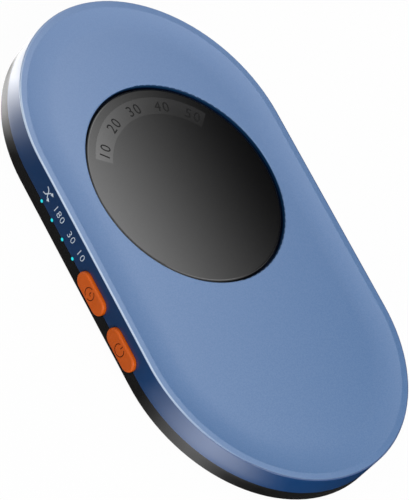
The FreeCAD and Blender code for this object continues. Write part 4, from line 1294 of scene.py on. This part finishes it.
@dataclass
class Studio:
    """World, floor, sky card, lamps and camera; glows are angles round the device and strengths."""

    ambient: float = 0.52
    floor_half: float = 4.0
    floor_drop: float = 0.02 * MM
    floor_share: float = 0.97
    floor_colour: Colour = linear(236, 236, 236)
    near_glow: tuple[Point, ...] = (
        (0, 0.5), (90, 0.9), (110, 1.6), (119, 1.9), (123, 1.4), (127, 0.9), (131, 1.2), (136, 1.9),
        (145, 3.0), (151, 2.9), (157, 1.7), (163, 0.5), (169, 0.1), (184, 0.1), (192, 0.46), (198, 1.15),
        (204, 1.6), (210, 2.0), (216, 1.7), (222, 0.95), (228, 0.3), (234, 0.12), (242, 0.05),
        (305, 0.04), (330, 0.5), (360, 0.5),
    )
    far_glow: tuple[Point, ...] = (
        (0, 0.5), (90, 0.9), (110, 1.8), (120, 2.2), (128, 3.0), (134, 3.9), (140, 3.4), (145, 2.6),
        (150, 1.7), (155, 1.0), (160, 0.75), (167, 0.25), (176, 0.05), (181, 0.05), (186, 0.5), (192, 1.0),
        (198, 1.8), (204, 2.5), (210, 3.1), (217, 3.4), (224, 2.8), (230, 2.1), (236, 1.2), (242, 0.5),
        (248, 0.15), (254, 0.02), (300, 0.01), (330, 0.5), (360, 0.5),
    )
    far_start: Span = (5.0 * MM, 9.0 * MM)
    wall_facing: Point = (-0.665, -0.289)
    least_facing: float = 0.1
    sky_place: Place = (0.2327, 0.1163, 0.2506)
    sky_facing: Place = (0.6648, 0.2887, 0.6890)
    sky_across: Place = (0.7197, 0.07, -0.6943)
    sky_half: float = 0.16
    sky_ramp: float = 0.034
    sky_most: float = 0.95
    sky_curve: float = 2.2
    sky_glow: float = 4.75
    lamps: tuple[AreaLamp, ...] = (
        AreaLamp("near_lamp", (-0.25, -0.95, 0.75), (0.9, 0.5), 7.0),
        AreaLamp("top_lamp", (-0.3, 0.2, 1.6), (1.0, 1.0), 3.4),
    )
    camera_place: Place = (-0.59398, -0.25792, 0.61638)
    camera_right: Place = (0.72823, -0.45597, 0.51163)
    camera_up: Place = (0.16646, 0.84187, 0.51336)
    camera_back: Place = (-0.66480, -0.28868, 0.68898)
    lens: float = 260.78
    sensor: float = 36.0
    shift: Point = (0.018175, 0.008849)
    clip: Span = (0.01, 50.0)

    def make(self) -> None:
        """Build the whole studio."""
        self._world()
        self._floor()
        self._sky_card()
        for lamp in self.lamps:
            lamp.make()
        self._camera()

    def _plane(self, name: str, half: float, place: Matrix, skin: str) -> tuple[bpy.types.Object, Tree]:
        """A flat stage piece, at the world's origin.

        Args:
            name: Its name.
            half: Half its side.
            place: Its place.
            skin: The name of its new material.

        Returns:
            The stage object and its material's tree.
        """
        shape = bmesh.new()
        bmesh.ops.create_grid(shape, x_segments=1, y_segments=1, size=half, matrix=place)
        mesh = bpy.data.meshes.new(name)
        shape.to_mesh(mesh)
        shape.free()
        plane = put(name, mesh)
        material = bpy.data.materials.new(skin)
        mesh.materials.append(material)
        return plane, Tree(material)

    def _world(self) -> None:
        """A white surround, plain for light and full for what is seen."""
        world = bpy.data.worlds.new("surround")
        bpy.context.scene.world = world
        tree = Tree(world)
        path = tree.node("ShaderNodeLightPath")
        seen = tree.out(path, "Is Camera Ray") + tree.out(path, "Is Glossy Ray")
        seen = seen.most(tree.out(path, "Is Transmission Ray")).least(1.0)
        strength = seen * (1.0 - self.ambient) + self.ambient
        light = tree.node("ShaderNodeBackground", None, {0: WHITE, 1: strength})
        tree.node("ShaderNodeOutputWorld", None, {0: tree.out(light)})

    def _floor(self) -> None:
        """A plain pale floor, white for the camera, and seen by reflections as a glow graded round the
        device.
        """
        place = Matrix.Translation((0, 0, -self.floor_drop))
        _, tree = self._plane("floor", self.floor_half, place, "floor_pale")
        path = tree.node("ShaderNodeLightPath")
        across, along, _ = tree.split(tree.place())
        reach, past = tree.around(across, along)
        turn = tree.out(tree.node("ShaderNodeMath", {"operation": "ARCTAN2"}, {0: past, 1: across}))
        circle = turn / TURN + (turn < 0.0)
        facing = (across * self.wall_facing[0] + past * self.wall_facing[1]) / reach
        away = ((reach - HALF_WIDTH) / facing.most(self.least_facing)).ramp(*self.far_start)
        glow = self._ring(tree, circle, self.near_glow) * (1.0 - away)
        glow = glow + self._ring(tree, circle, self.far_glow) * away
        pale = tree.out(tree.node("ShaderNodeBsdfDiffuse", None, {0: self.floor_colour}))
        share = tree.out(path, "Is Camera Ray") * self.floor_share
        seen = tree.blend(share, pale, tree.emission(1.0))
        tree.show(tree.blend(tree.out(path, "Is Glossy Ray"), seen, tree.emission(glow)))

    def _ring(self, tree: Tree, circle: Sock, glow: Sequence[Point]) -> Sock:
        """A strength that changes round the device.

        Args:
            tree: The floor's tree.
            circle: The share of a full turn from +X.
            glow: Angles in degrees and the strengths there.

        Returns:
            The strength's socket.
        """
        peak = max(strength for _, strength in glow)
        stops = [(angle / 360, (strength / peak,) * 3) for angle, strength in glow]
        return tree.out(tree.node("ShaderNodeValToRGB", {"stops": stops}, {0: circle})) * peak

    def _sky_card(self) -> None:
        """A graded card over the disc that only reflections see."""
        turn = Vector(self.sky_facing).normalized().to_track_quat("Z", "Y").to_matrix().to_4x4()
        place = Matrix.Translation(self.sky_place) @ turn
        card, tree = self._plane("sky_card", self.sky_half, place, "sky_card")
        for ray in ("camera", "diffuse", "transmission", "volume_scatter", "shadow"):
            setattr(card, f"visible_{ray}", False)
        off = tree.place(tuple(-part for part in self.sky_place))
        dot = tree.node(
            "ShaderNodeVectorMath", {"operation": "DOT_PRODUCT"}, {0: off, 1: self.sky_across}
        )
        share = 0.5 - tree.out(dot, "Value") / (2 * self.sky_ramp)
        share = share.most(0.0).least(self.sky_most)
        tree.show(tree.emission(share ** self.sky_curve * self.sky_glow))

    def _camera(self) -> None:
        """The photograph's camera."""
        data = bpy.data.cameras.new("camera")
        data.lens = self.lens
        data.sensor_width = self.sensor
        data.shift_x, data.shift_y = self.shift
        data.clip_start, data.clip_end = self.clip
        camera = put("camera", data)
        turn = Matrix((self.camera_right, self.camera_up, self.camera_back)).transposed().to_4x4()
        camera.matrix_world = Matrix.Translation(self.camera_place) @ turn
        bpy.context.scene.camera = camera
        bpy.context.scene.view_settings.view_transform = "Standard"


def main() -> None:
    """Build every class in order."""
    logging.basicConfig(level=logging.INFO, format="%(message)s")
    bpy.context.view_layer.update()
    Dressing(NODE_FINISHES).make()
    bench = Bench()
    for maker in (SideMarks(bench), KeySigns(bench), DiscScale(bench), Studio()):
        maker.make()
        LOG.info("made %s", type(maker).__name__)


if __name__ == "__main__":
    main()
